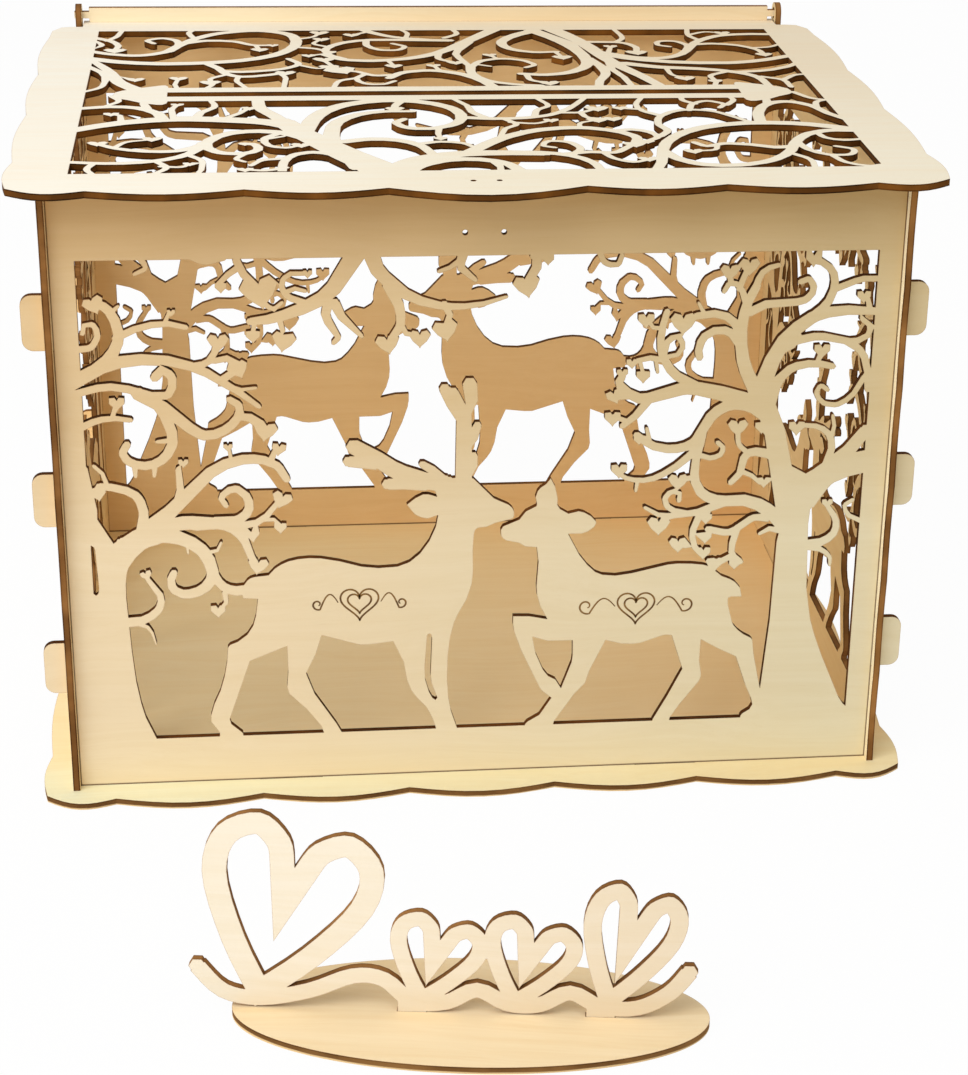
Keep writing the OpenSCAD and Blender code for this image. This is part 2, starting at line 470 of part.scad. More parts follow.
doe_leg_gap = [[19.4, 56], [19.4, 56], [25, 54.1], [34.4, 54], [34.4, 54], [34.2, 45],
    [30.5, 34.4], [30.5, 34.4], [28.4, 38], [24.6, 40.6], [20.8, 49]];

module deer() {
    difference() {
        union() {
            polygon(smooth_loop(stag));
            polygon(smooth_loop(doe));
            branches(antlers);
        }
        polygon(smooth_loop(stag_leg_gap));
        polygon(smooth_loop(doe_leg_gap));
    }
}

// Narrow slit between the left trunk and the edge of the window
trunk_slit = [[-143, 97.4], [-143, 97.4], [-140.1, 97.4], [-139.7, 91], [-139.3, 85],
    [-139.2, 80.4], [-140, 78.6], [-141.2, 79.4], [-143, 84], [-143, 84]];

module trees() {
    difference() {
        union() {
            polygon(smooth_loop(left_trunk));
            branches(left_tree_branches);
        }
        polygon(smooth_loop(trunk_slit));
    }
    polygon(smooth_loop(right_trunk));
    branches(right_tree_branches);
    branches(hanging_branches);
    hearts(left_tree_hearts);
    hearts(right_tree_hearts);
    hearts(hanging_hearts);
}

// Fretwork fitted to a window w wide and h high that stands on its bottom rail
module fitted(w, h) {
    translate([0, bottom_rail]) scale([w / end_art[0], h / end_art[1]])
        translate([0, -19]) children();
}

// ---- Upright sheets ----------------------------------------------------------------------

// Sheet cut from plywood, with the kerf taken off its edges
module cut_sheet() {
    linear_extrude(ply) offset(delta = -kerf) children();
}

// Openings that fretwork leaves in a window w wide and h high, whose middle is at [0, y]
module openings(w, h, y) {
    translate([0, 0, -1]) linear_extrude(ply + 2)
        offset(delta = kerf + least_gap / 2) offset(delta = -least_gap / 2) difference() {
            translate([0, y]) square([w, h], center = true);
            children();
        }
}

// Turns a flat sheet upright on its cut lower edge, from y = 0 back
module stand_up() {
    translate([0, ply, -kerf]) rotate([90, 0, 0]) children();
}

module side_tabs(half) {
    for (z = tabs, s = [-1, 1]) scale([s, 1]) translate([half - 1, z]) {
        translate([0, -tab_h / 2]) square([1 + ply + tab_out - tab_corner, tab_h]);
        for (c = [-1, 1]) translate([1 + ply + tab_out - tab_corner, c * (tab_h / 2 - tab_corner)])
            circle(tab_corner, $fn = 24);
        translate([0, tab_corner - tab_h / 2]) square([1 + ply + tab_out, tab_h - 2 * tab_corner]);
    }
}

module foot_tabs() {
    for (s = [-1, 1]) translate([s * foot_tab_x - foot_tab_w / 2, -ply])
        square([foot_tab_w, ply + 1]);
}

window_h = wall_h - bottom_rail - top_rail;
window_mid = bottom_rail + window_h / 2;
end_window_w = box_w - 2 * end_rail;

module end_sheet() {
    translate([-box_w / 2, 0]) square([box_w, wall_h]);
    side_tabs(box_w / 2);
    foot_tabs();
}

module end_fretwork() {
    fitted(end_window_w, window_h) {
        trees();
        deer();
    }
}

module end_panel(with_lock) {
    stand_up() difference() {
        cut_sheet() end_sheet();
        openings(end_window_w, window_h, window_mid) end_fretwork();
        if (with_lock) for (s = [-1, 1])
            translate([s * lock_front_gap / 2, wall_h - lock_front_drop, -1])
                cylinder(r = lock_r, h = ply + 2, $fn = 24);
    }
}

module front_panel() {
    color(birch) translate([0, -box_d / 2, ply]) end_panel(true);
}

module back_panel() {
    color(birch) rotate(180) translate([0, -box_d / 2, ply]) end_panel(false);
}

// Side panel, drawn with x towards the back
side_w = box_d + 2 * side_over;
side_window_w = box_d - 2 * side_rail;

// Slots for the tabs of the front and back panels
module tab_slots() {
    for (z = tabs, s = [-1, 1])
        translate([s * (box_d - ply) / 2 - ply / 2 - tab_fit, z - tab_h / 2 - tab_fit])
            square([ply + 2 * tab_fit, tab_h + 2 * tab_fit]);
}

// Front and rear edges, gently waved
module side_blank() {
    n = 6;
    wave = [for (i = [0:n * 4]) [side_w / 2 - 0.8 * abs(sin(i * 45)), wall_h * i / (n * 4)]];
    polygon(concat([for (p = wave) p],
        [for (i = [len(wave) - 1:-1:0]) [-wave[i][0], wave[i][1]]]));
}

module side_sheet() {
    difference() {
        union() {
            side_blank();
            ear();
        }
        tab_slots();
    }
    foot_tabs();
}

// Round-topped ear at the rear of the top edge, for the hinge
module ear() {
    translate([hinge_y, hinge_z - ply]) circle(ear_r, $fn = 48);
    polygon([[hinge_y - ear_r, hinge_z - ply], [hinge_y - ear_r, wall_h - 4],
        [side_w / 2 - 8, wall_h - 4], [side_w / 2 - 1, wall_h - 26],
        [hinge_y + ear_r, wall_h - 4], [hinge_y + ear_r, hinge_z - ply]]);
}

// The same drawing as on the end panels, with the deer kept in proportion
module side_fretwork() {
    $stray = 0.36;
    fitted(side_window_w, window_h) {
        trees();
        translate([0, 19]) scale([1, side_window_w / end_window_w]) translate([0, -19]) deer();
    }
}

module side_panel() {
    translate([0, 0, ply - kerf]) rotate([90, 0, 90]) difference() {
        cut_sheet() side_sheet();
        openings(side_window_w, window_h, window_mid) side_fretwork();
        translate([hinge_y, hinge_z - ply + kerf, -1])
            cylinder(r = ear_hole_r, h = ply + 2, $fn = 32);
    }
}

module right_panel() {
    color(birch) translate([box_w / 2, 0, 0]) side_panel();
}

module left_panel() {
    color(birch) mirror([1, 0, 0]) translate([box_w / 2, 0, 0]) side_panel();
}

// ---- Base plate and lid ------------------------------------------------------------------

// Scalloped edge from a to b that bulges by h to its right
function scallop_edge(a, b, h) = let (d = b - a, out = [d[1], -d[0]] / norm(d), n = 8)
    [for (i = [0:n-1]) a + d * i / n + out * h * sin(180 * i / n)];

// Scallops one after another through the cusps p, with bulges h
function scallops(p, h) = [for (i = [0:len(p)-2]) each scallop_edge(p[i], p[i+1], h[i])];

// Cusps on the right half of the front edges, and along the sides, of a box of plain size
lid_cusps = [34, 82.5, 135.5];
base_cusps = [27.5, 82, 136.5];
side_cusps = [-97, -31, 33, 98];
plain_w = 300;
plain_d = 242;

edge_x = side_x + edge_out;              // half the width of the lid and base over their sides

// Cusps of a front edge that lies out in front of the front panel, from left to right
function front_cusps(x, out) = let (f = -box_d / 2 - out, k = box_w / plain_w) concat(
    [[-edge_x, f + 4]], [for (i = [2:-1:0]) [-x[i] * k, f]], [for (v = x) [v * k, f]],
    [[edge_x, f + 4]]);

// Cusps of the right edge from the front corner that lies at y
function right_cusps(y) = concat([[edge_x, y]],
    [for (c = side_cusps) [edge_x, c * box_d / plain_d]]);

function turned_round(p) = [for (i = [len(p)-1:-1:0]) [-p[i][0], p[i][1]]];

module base_sheet() {
    r = right_cusps(4 - box_d / 2 - base_front);
    e = box_d / 2 + 6;
    corner = [[edge_x, e - 12], [edge_x - 1, e - 5], [edge_x - 4, e - 1.4], [edge_x - 9, e]];
    difference() {
        polygon(concat(
            scallops(front_cusps(base_cusps, base_front), [for (i = [0:6]) scallop]),
            scallops(r, [2, 2, 2, 2]), corner, turned_round(corner),
            scallops(turned_round(r), [2, 2, 2, 2])));
        for (s = [-1, 1], t = [-1, 1]) {
            translate([s * foot_tab_x, t * (box_d - ply) / 2])
                square([foot_tab_w, ply] + 2 * tab_fit * [1, 1], center = true);
            translate([s * (side_x - ply / 2), t * foot_tab_x])
                square([ply, foot_tab_w] + 2 * tab_fit * [1, 1], center = true);
        }
    }
}

module base_plate() {
    color(birch) cut_sheet() base_sheet();
}

module lid_outline() {
    r = right_cusps(4 - box_d / 2 - lid_front);
    e = box_d / 2 - 2;
    corner = [[edge_x, r[4][1]], [edge_x - 0.5, e - 8], [edge_x - 4, e - 1], [edge_x - 8, e],
        [box_w / 2 - 2 * run_fit, e], [box_w / 2 - 2 * run_fit, box_d / 2 + lid_rear]];
    polygon(concat(
        scallops(front_cusps(lid_cusps, lid_front),
            [scallop, scallop, scallop, scallop_mid, scallop, scallop, scallop]),
        scallops(r, [2, 2, 2, 2]), corner, turned_round(corner),
        scallops(turned_round(r), [2, 2, 2, 2])));
}

// ---- Fretwork of the lid: x from the middle, y back from the front panel's face ----------

lid_front_branches = [
    // stem in the middle of the front rail
    [16, 9, [[-33, 2], [-38, 16], [-46, 30], [-54, 46], [-62, 62], [-68, 78]]],
    [10, 6, [[-32, 8], [-22, 22], [-8, 29.5], [8, 31], [24, 29.6]]],
    [6, 5, [[-66, 72], [-71, 86], [-76, 98], [-77, 114]]],
    // long limb to the left, and the arches beside it
    [9, 6, [[-62, 68], [-74, 77], [-90, 81], [-106, 82.6], [-120, 80], [-132, 75], [-144, 67]]],
    [5, 4, [[-112, 83], [-114.6, 92], [-122, 99.6], [-132, 101.6], [-144, 99]]],
    [4, 3, [[-118, 98], [-119.6, 106], [-118, 114]]],
    [4, 2.4, [[-100, 83], [-98, 92], [-93, 101], [-95.6, 114]]],
    [3, 2.4, [[-90, 82], [-84, 90], [-80.4, 98]]],
    [3, 2.4, [[-108, 84], [-109, 96], [-107, 104]]],
    [3, 2, [[-127, 81], [-127.6, 88], [-131, 90]]],
    // ring under the long limb
    [6, 3.4, [[-56, 44], [-61, 54], [-69, 61.6], [-79, 64], [-88, 60.6], [-94.6, 52],
              [-95.4, 42], [-90.6, 34.6], [-82.6, 33], [-77.4, 38], [-78.4, 45],
              [-83, 46.6]]],
    [3.6, 2.4, [[-70, 60], [-75, 53], [-73.6, 44], [-67.6, 40.4], [-62.4, 44]]],
    [2.6, 2, [[-74, 53], [-68, 56.4]]],
    // curls in the front left corner
    [4.6, 3, [[-92, 56], [-98, 44], [-106, 37.4], [-117, 37.2], [-127, 41.4], [-134, 48]]],
    [2.6, 2, [[-128, 42], [-124, 50], [-115, 53.4]]],
    [4.6, 3.4, [[-96.6, 48], [-100, 36], [-107, 27.6], [-118, 22.6], [-130, 21.6], [-144, 24]]],
    [3, 2.4, [[-134, 22], [-136, 14], [-133, 6]]],
    [3, 2.4, [[-113, 24], [-109, 16], [-112, 9], [-118, 4]]],
    [2.6, 2, [[-111, 17], [-104, 16], [-101, 20]]],
    [3, 2, [[-102, 32], [-97, 24], [-97, 12], [-99, 4]]],
    // arch right of the corner
    [4.6, 3.4, [[-44, 12], [-46, 22], [-51, 30.6], [-58, 34], [-65, 30.4], [-68.6, 21],
                [-69.6, 4]]],
    [3, 2.4, [[-68, 14], [-75, 10.6], [-82, 12]]],
    [3, 2.4, [[-68, 26], [-76, 24], [-80, 17]]],
    [3, 2, [[-82, 33], [-85, 26], [-82, 22]]],
    // spiral in the middle
    [7, 3.4, [[-60, 64], [-57.4, 78], [-52.4, 92], [-43, 103], [-30, 108.4], [-16, 106.4],
              [-5.6, 98], [-1.4, 86], [-3.6, 74], [-12, 66.4], [-21.6, 66.6], [-26.4, 74],
              [-23, 80]]],
    [7, 3, [[-51, 44], [-50.6, 62], [-48, 76], [-40, 87], [-30, 91.6], [-19, 91.4]]],
    [4, 3, [[-22, 109], [-25, 101], [-26, 96]]],
    [5, 4, [[-47, 48], [-37, 51.4], [-27, 49.4], [-19.6, 42], [-16, 30]]],
    [3, 2, [[-11, 67], [-12, 58], [-11.6, 52]]],
    [3.4, 2.4, [[-20, 44], [-12, 47], [-4, 44.6], [0, 38]]],
    // arches on the front rail
    [5.4, 5, [[-27, 4], [-21, 15], [-11, 22], [0, 22.4], [9, 16.4], [14, 4]]],
    [3, 2.4, [[6, 4], [6.4, 12], [4, 20]]],
    [5, 3.4, [[8, 31], [22, 31], [33, 26.4], [39.6, 17], [41.6, 4]]],
    // arch with a curl, right of the middle
    [6, 4, [[-4, 30], [3, 41], [13, 53.6], [26, 62.8], [41, 65.4], [53.6, 60], [60, 51],
            [58, 41]]],
    [3.4, 2.4, [[34, 28], [37.6, 36], [34.4, 44.6], [27.4, 46.4], [24.6, 40.4], [28.6, 37.4]]],
    [4, 3, [[30, 28], [40, 31], [49, 30], [54, 36], [58, 42]]],
    [3, 2.4, [[45, 30.6], [48, 22], [54, 17], [60, 20]]],
    [3.6, 3, [[53, 60], [60, 62], [66, 58], [68, 51], [63, 45]]],
    [2.4, 2, [[41, 64], [42, 72], [48, 76]]],
    // limbs between the spiral and the slot
    [4.4, 2.6, [[-2, 82], [10, 79.6], [22, 80.4], [32, 84.6], [39, 92], [44, 101],
                [50, 114]]],
    [3.6, 2.4, [[8, 80], [3, 90], [2, 100], [-3, 112]]],
    [3, 2.4, [[26, 82], [28, 92], [33, 99], [30, 110]]],
    [3, 2.4, [[14, 79.4], [18, 71], [13, 64], [10, 52]]],
    [2.6, 2, [[16, 74], [25, 72], [31, 76]]],
    [3, 2.4, [[36, 88], [44, 88], [50, 93]]],
    [3, 2.4, [[44, 88], [46, 80], [54, 78]]],
    // long limb to the right, and its ring
    [4, 6.4, [[60, 4], [64, 16], [66.4, 30], [70.6, 44.6], [79, 57.6], [91, 66.4], [106, 70.4],
              [122, 69.4], [134, 65], [144, 59]]],
    [4.6, 4.6, [[67, 32], [71, 20], [79, 12.6], [91, 11.6], [103, 17], [112, 27.6], [117, 41],
                [123.4, 52.4], [133, 58.4], [144, 58]]],
    [4.4, 3, [[115, 36], [108, 35.4], [100, 39.4], [91, 41], [84, 37.6], [80, 43]]],
    [2.6, 2, [[88, 40], [86, 32.6], [78, 31]]],
    [3.4, 2.6, [[118, 44], [120, 32], [126, 24.4], [134, 24.6], [136.6, 31.6], [131, 36]]],
    [3, 2.6, [[128, 56], [130, 48], [136, 44.4], [144, 46]]],
    [3, 2.4, [[112, 28], [118, 18], [117, 4]]],
    [3, 2.4, [[127, 24], [130, 14], [137, 9], [144, 11]]],
    [3.4, 2.6, [[69, 52], [73, 60], [71, 70], [74, 82], [83, 90.4], [94, 89], [101, 80.4],
                [107, 70]]],
    [5, 3.4, [[110, 70], [112, 86], [117.6, 98.6], [126.6, 102.6], [134.6, 96], [138.6, 84],
              [144, 74]]],
    [3, 2.6, [[86, 90], [89, 100], [95.4, 104.4], [101, 99.6], [98.4, 93.6]]],
    [3, 2.4, [[90, 100], [86, 106], [87, 114]]],
    [3, 2.4, [[102, 98], [106, 106], [104, 114]]],
    [3, 2.4, [[74, 82], [68, 90], [67, 100], [72, 114]]],
    [2.6, 2, [[68, 92], [60, 94]]],
    [4, 3, [[118, 98], [119, 106], [118, 114]]],
    [3, 2.4, [[136, 92], [138, 102], [144, 106]]],
];

lid_rear_branches = [
    // long limb and great ring on the left
    [7, 3, [[-122, 126], [-130, 140], [-134, 156], [-139, 170], [-144, 180]]],
    [6, 4, [[-144, 181], [-131, 174.6], [-116, 171.4], [-99, 172.2], [-83, 176.4],
            [-70.6, 184.6], [-62.6, 197], [-60, 211], [-63.4, 224.6], [-76, 231.4],
            [-91, 227], [-101.6, 216.6], [-108.6, 203], [-114, 191.6], [-124, 186],
            [-135, 188.4], [-144, 194]]],
    [4.4, 2.6, [[-106, 208], [-97, 212.6], [-86, 211], [-78, 204], [-70, 203.6]]],
    [2.4, 2.4, [[-77, 204], [-75.6, 196]]],
    [4, 2.8, [[-112, 193], [-108.6, 203], [-109.4, 212.6], [-115.4, 217.4], [-121.4, 213.4],
              [-118.6, 207.6]]],
    [4, 2.6, [[-144, 219], [-136.4, 212.6], [-133, 204], [-134, 196]]],
    [3, 2.4, [[-138, 213], [-134, 222], [-132, 236]]],
    [3, 2.4, [[-103, 219], [-104.6, 228], [-101, 236]]],
    [3, 2.4, [[-144, 214], [-139.6, 205], [-144, 198]]],
    // loop and leaves between the ring and the slot
    [4, 3.4, [[-97, 172], [-92, 163], [-88.6, 153], [-82.6, 148.4], [-74, 150.4],
              [-66, 154.6]]],
    [4, 3, [[-90, 158], [-83, 156.6], [-73, 158.6], [-65, 162.6], [-60, 170], [-64, 179]]],
    [2.6, 2.4, [[-84, 149], [-84.6, 140], [-80, 126]]],
    [2.6, 2.4, [[-68, 154], [-65.6, 145], [-67, 126]]],
    [2.6, 2.4, [[-89, 152], [-95, 145], [-94, 136], [-98, 126]]],
    [2.4, 2, [[-107, 126], [-108.6, 136], [-107.4, 146]]],
    [3.4, 2.4, [[-144, 168], [-137.4, 156], [-135.6, 144], [-137, 132], [-144, 124]]],
    [2.6, 2, [[-132, 150], [-124, 144.6]]],
    [3, 2.4, [[-60, 200], [-52, 196.6], [-47, 190]]],
    [2.6, 2, [[-61, 214], [-53, 219], [-50, 227]]],
    // ring and curl left of the great heart
    [6.4, 4, [[28, 238], [18, 221], [10, 207.6], [3, 196], [-5, 186], [-16, 178.4],
              [-30, 174.8], [-42, 177.4], [-49, 186]]],
    [4.6, 3.4, [[4, 211.4], [-8, 212], [-20, 213], [-32, 212.4], [-42, 206.6], [-48, 197],
                [-47.4, 186], [-41, 178]]],
    [5, 3, [[-34, 238], [-28, 227], [-18, 217.6], [-4, 213]]],
    [3.4, 2.6, [[-31, 212], [-31, 202], [-26.4, 194.6], [-19, 194], [-15.6, 200.4],
                [-20.4, 206]]],
    [2.6, 2.2, [[-14, 217], [-13, 226], [-17, 236]]],
    [2.6, 2, [[-30, 228], [-36, 222.6]]],
    [2.6, 2, [[-47, 200], [-53, 206], [-50, 214]]],
    [2.4, 2, [[-24, 175.6], [-22, 166]]],
    [2.4, 2, [[-48, 188], [-55, 184.6]]],
    [3.4, 2.6, [[-2, 189], [-3, 178], [3, 171]]],
    [3, 2.6, [[2, 216], [8, 224], [6, 236]]],
    // great heart loop
    [7, 4, [[40, 232], [47.6, 217], [53.4, 201], [57, 183], [56.4, 166], [49, 154],
            [38, 149], [28, 151]]],
    [6, 3, [[42, 230], [31, 219], [25.4, 207], [28, 195.4], [37, 189], [47, 189.6]]],
    [2.6, 2, [[46, 190], [48, 180]]],
    [4, 2.8, [[12, 208], [8, 198], [4.6, 186], [7, 172], [9.4, 160]]],
    [3.6, 2.6, [[9, 163], [13.6, 173], [22, 177.4], [30.6, 174.6], [35, 166.6], [31, 161.6]]],
    [2.4, 2, [[21, 177], [18.6, 184]]],
    [2.4, 2, [[11, 168], [17, 164]]],
    [4.4, 3, [[9, 166], [8.4, 152], [13.4, 140], [23, 133.6], [34, 131]]],
    [3, 2.4, [[30, 150], [31, 140], [38, 135]]],
    // arch in front of the ring
    [5, 4, [[16, 126], [11, 141], [3, 152], [-8, 157.4], [-19, 154], [-25, 145]]],
    [3.4, 2.8, [[-23, 150], [-31, 149.6], [-37, 156], [-44, 158]]],
    [3, 2.4, [[-34, 152], [-38, 144], [-35, 136], [-28, 134.6], [-23, 140]]],
    [3, 2.4, [[-38, 145], [-45, 140], [-48, 126]]],
    [2.6, 2.4, [[-42, 157], [-47, 167], [-50, 177]]],
    [2.4, 2, [[-60, 168], [-53, 162], [-48, 164]]],
    [2.6, 2, [[-4, 157], [-6, 166]]],
    // crossing limbs right of the heart
    [8, 5, [[48, 236], [56, 216], [61.6, 197], [65, 180], [70, 162], [76, 146], [82, 126]]],
    [5, 3.6, [[58, 178], [61.6, 164], [62, 150], [58, 138], [56, 126]]],
    [3.6, 3, [[66, 172], [65.6, 158], [68.6, 144], [70, 126]]],
    // long limb and ring on the right
    [6.4, 4.4, [[64, 188], [74, 178], [88, 171.4], [103, 168.4], [118, 168.6], [131, 173],
                [144, 181]]],
    [4.4, 4, [[68, 186], [79, 178.4], [90, 177.6], [98.4, 184.6], [103.6, 196], [109, 208],
              [119, 218], [131, 221.4], [144, 221]]],
    [3.8, 2.8, [[106, 202], [115, 203.4], [125, 200], [131.6, 192], [133, 183]]],
    [2.6, 2.2, [[130, 195], [138, 197], [144, 203]]],
    [3.4, 2.6, [[101, 190], [103.4, 200], [99.6, 208], [92.6, 208], [91, 201.6], [95.6, 198]]],
    [4, 3, [[58, 208], [66, 207.6], [76, 206], [81, 198], [80, 188]]],
    [3, 2.4, [[74, 207], [78, 216], [76, 236]]],
    [2.8, 2.2, [[68, 187], [70.6, 198.6]]],
    [3, 2.4, [[110, 210], [107, 220], [109, 236]]],
    [2.6, 2, [[108, 221], [115, 226], [122, 224]]],
    [6, 3.4, [[72, 168], [86, 161], [101, 158], [114, 152.6], [122.6, 143], [124.6, 126]]],
    [4, 3, [[116, 152], [128, 154.4], [138, 160.6], [144, 168]]],
    [3, 2.4, [[112, 153], [104, 146], [104.6, 136], [102, 126]]],
    [2.6, 2, [[88, 160], [88.6, 148], [93, 142]]],
    [3, 2.6, [[124, 144], [132, 138], [133, 126]]],
    [3, 2.4, [[132, 138], [138, 146], [144, 148]]],
    [3, 2.4, [[132, 118], [137, 108], [144, 104]]],
    [3, 2.4, [[-132, 118], [-129, 110], [-134, 102]]],
];

lid_hearts = [
    [-62, 44, 8, 0], [-134, 48.4, 8, 0], [-115, 54, 8, 0], [-80, 98, 7, 0], [-107, 104, 6, 0],
    [-101, 20, 6, 0], [-82, 12, 7, 0], [-82, 46, 5, 0], [-11.6, 51.6, 6, 0], [0, 37, 5, 0],
    [-25.6, 95.4, 8, 0], [60, 21, 8, 0], [58, 41, 9, 0], [49, 76.6, 9, 0], [51, 94, 10, 0],
    [55, 78, 8, 0], [31.6, 76.6, 7, 0], [78, 31, 8, 0], [63, 45, 7, 0], [60, 94.4, 7, 0],
    [-131, 90.4, 7, 0], [-134, 195, 10, 0], [-75.4, 195.6, 8, 0], [-65.6, 154.6, 9, 0],
    [-107.4, 146, 8, 0], [-95, 139, 9, 0], [-124, 144.6, 8, 0], [-50, 227, 9, 0],
    [-47, 190.4, 7, 0], [-49.6, 214.4, 8, 0], [-36.6, 222.6, 8, 0], [-43.6, 158.6, 14, 20],
    [-49.6, 177.4, 10, 0], [-55.6, 184.6, 7, 0], [-22, 165.6, 8, 0], [-6, 166, 7, 0],
    [3.4, 171, 8, 0], [48, 179.6, 9, 0], [18.4, 184.4, 7, 0], [37.6, 135.4, 9, 0],
    [80, 187.6, 10, 0], [70.6, 199, 7, 0], [122.4, 224, 8, 0], [133, 183, 8, 0],
    [93, 142, 9, 0], [-48, 164.4, 9, 0], [104.4, 137, 7, 0], [-70, 203.6, 6, 0],
];

// Everything of the lid's fretwork, fitted to the window
module lid_fretwork() {
    scale(lid_fit)
        translate([0, -8.5]) {
            branches(lid_front_branches);
            branches(lid_rear_branches);
            hearts(lid_hearts);
        }
}

// The straight bars round the card slot and the solid areas at its ends
module slot_frame() {
    translate([0, slot_y]) difference() {
        union() {
            square([slot_l, slot_w] + 2 * slot_bar * [1, 1], center = true);
            for (s = [-1, 1]) translate([s * slot_l / 2, 0]) scale([s * lid_fit[0], lid_fit[1]])
                polygon(smooth_loop([[0, -14], [0, 13], [6, 13], [14, 9], [20, 4], [20, -4],
                    [14, -9], [8, -14]]));
        }
        square([slot_l, slot_w], center = true);
    }
}

module lid_panel() {
    front = lid_window_y - box_d / 2;
    color(birch_light) translate([0, 0, lid_z]) difference() {
        cut_sheet() lid_outline();
        openings(lid_window_w, lid_window_d, front + lid_window_d / 2) {
            translate([0, front]) lid_fretwork();
            slot_frame();
        }
        for (s = [-1, 1]) translate([s * lock_lid_gap / 2, -box_d / 2 - lock_lid_y, -1])
            cylinder(r = lock_r, h = ply + 2, $fn = 24);
    }
}

// ---- Hinge rail --------------------------------------------------------------------------

// Strip on edge along the rear of the lid; its ends pass through the ears of the side panels
module hinge_rail() {
    half = box_w / 2 - rail_gap;
    reach = side_x + pin_out + kerf;
    color(birch_light) translate([0, hinge_y - ply / 2, lid_z + ply]) stand_up() cut_sheet() {
        translate([-half, 0]) square([2 * half, rail_h]);
        translate([-reach, hinge_rise - pin_h / 2]) square([2 * reach, pin_h]);
    }
}

// ---- Ornament on its oval foot -----------------------------------------------------------

// Large heart, 56 wide and 57 high, that stands on its point
tall_heart = [[0, 0], [0, 0], [-16, 17], [-28, 36], [-27, 50], [-15, 57], [-4, 52], [0, 44],
    [0, 44], [4, 52], [15, 57], [27, 50], [28, 36], [16, 17]];

// Outline of that heart in a band w wide, s wide and h high, leaning right by a
module heart_ring(s, h, w, a) {
    rotate(-a) difference() {
        scale([s / 56, h / 57]) polygon(smooth_loop(tall_heart));
        offset(delta = -w) scale([s / 56, h / 57]) polygon(smooth_loop(tall_heart));
    }
}

ornament_tabs = [-19, 42];

module ornament_sheet() {
    $stray = 0.04;
    scale([foot_l / ornament_art[0], ornament_h / ornament_art[1]]) {
        translate([-70, 0]) heart_ring(56, 71, 8, 15);
        translate([-17, 1]) heart_ring(31, 36, 5.6, 15);
        translate([13, 1]) heart_ring(31, 36, 5.6, 15);
        translate([43, 1]) heart_ring(32, 49, 6, 15);
        branch(6, 6, [[-88, 15], [-80, 6], [-68, 3.6], [-52, 7], [-38, 13], [-28, 12],
            [-19, 4], [-8, 4], [2, 9], [12, 4], [22, 4], [32, 9], [42, 4], [54, 4], [64, 10],
            [70, 18]]);
    }
    for (x = ornament_tabs) translate([x - ornament_tab_w / 2, -ply])
        square([ornament_tab_w, ply + 6]);
}

module on_foot() {
    translate([-foot_x, -box_d / 2 - foot_y, 0]) rotate(-foot_turn) children();
}

module ornament_foot() {
    color(birch) on_foot() difference() {
        scale([foot_l / 2 - kerf, foot_w / 2 - kerf, 1]) cylinder(r = 1, h = ply, $fn = 96);
        for (x = ornament_tabs) translate([x, 0, ply / 2])
            cube([ornament_tab_w + 2 * tab_fit, ply + 2 * tab_fit, 3 * ply], center = true);
    }
}

module ornament() {
    color(birch_light) on_foot() translate([0, -ply / 2, ply]) stand_up() cut_sheet()
        ornament_sheet();
}

base_plate();
front_panel();
back_panel();
left_panel();
right_panel();
lid_panel();
hinge_rail();
ornament_foot();
ornament();
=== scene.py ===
# Wedding card box of laser-cut birch plywood with a small heart ornament in front of it.
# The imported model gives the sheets; this file gives their finishes, the scored hearts,
# the studio and the camera. Metres throughout.
import bpy
import math
from mathutils import Matrix, Vector


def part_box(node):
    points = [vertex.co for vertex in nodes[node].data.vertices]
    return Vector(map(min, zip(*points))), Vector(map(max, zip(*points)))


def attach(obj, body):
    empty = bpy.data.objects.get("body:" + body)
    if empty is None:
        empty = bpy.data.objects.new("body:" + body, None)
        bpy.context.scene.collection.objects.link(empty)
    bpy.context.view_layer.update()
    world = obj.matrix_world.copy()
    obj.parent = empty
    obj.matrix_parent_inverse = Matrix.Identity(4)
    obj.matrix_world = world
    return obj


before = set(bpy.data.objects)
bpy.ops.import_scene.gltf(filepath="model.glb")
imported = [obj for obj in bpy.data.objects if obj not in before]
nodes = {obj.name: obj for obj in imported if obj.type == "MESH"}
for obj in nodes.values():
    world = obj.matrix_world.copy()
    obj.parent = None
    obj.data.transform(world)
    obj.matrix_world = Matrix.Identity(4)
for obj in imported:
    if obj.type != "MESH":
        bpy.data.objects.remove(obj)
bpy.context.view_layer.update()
print("frame loaded:", len(nodes), "sheets")


def paint(hexCode):
    # "#rrggbb" as a linear colour with alpha, by the sRGB curve
    parts = [int(hexCode[i:i + 2], 16) / 255 for i in (1, 3, 5)]
    return [p / 12.92 if p <= 0.04045 else ((p + 0.055) / 1.055) ** 2.4 for p in parts] + [1.0]


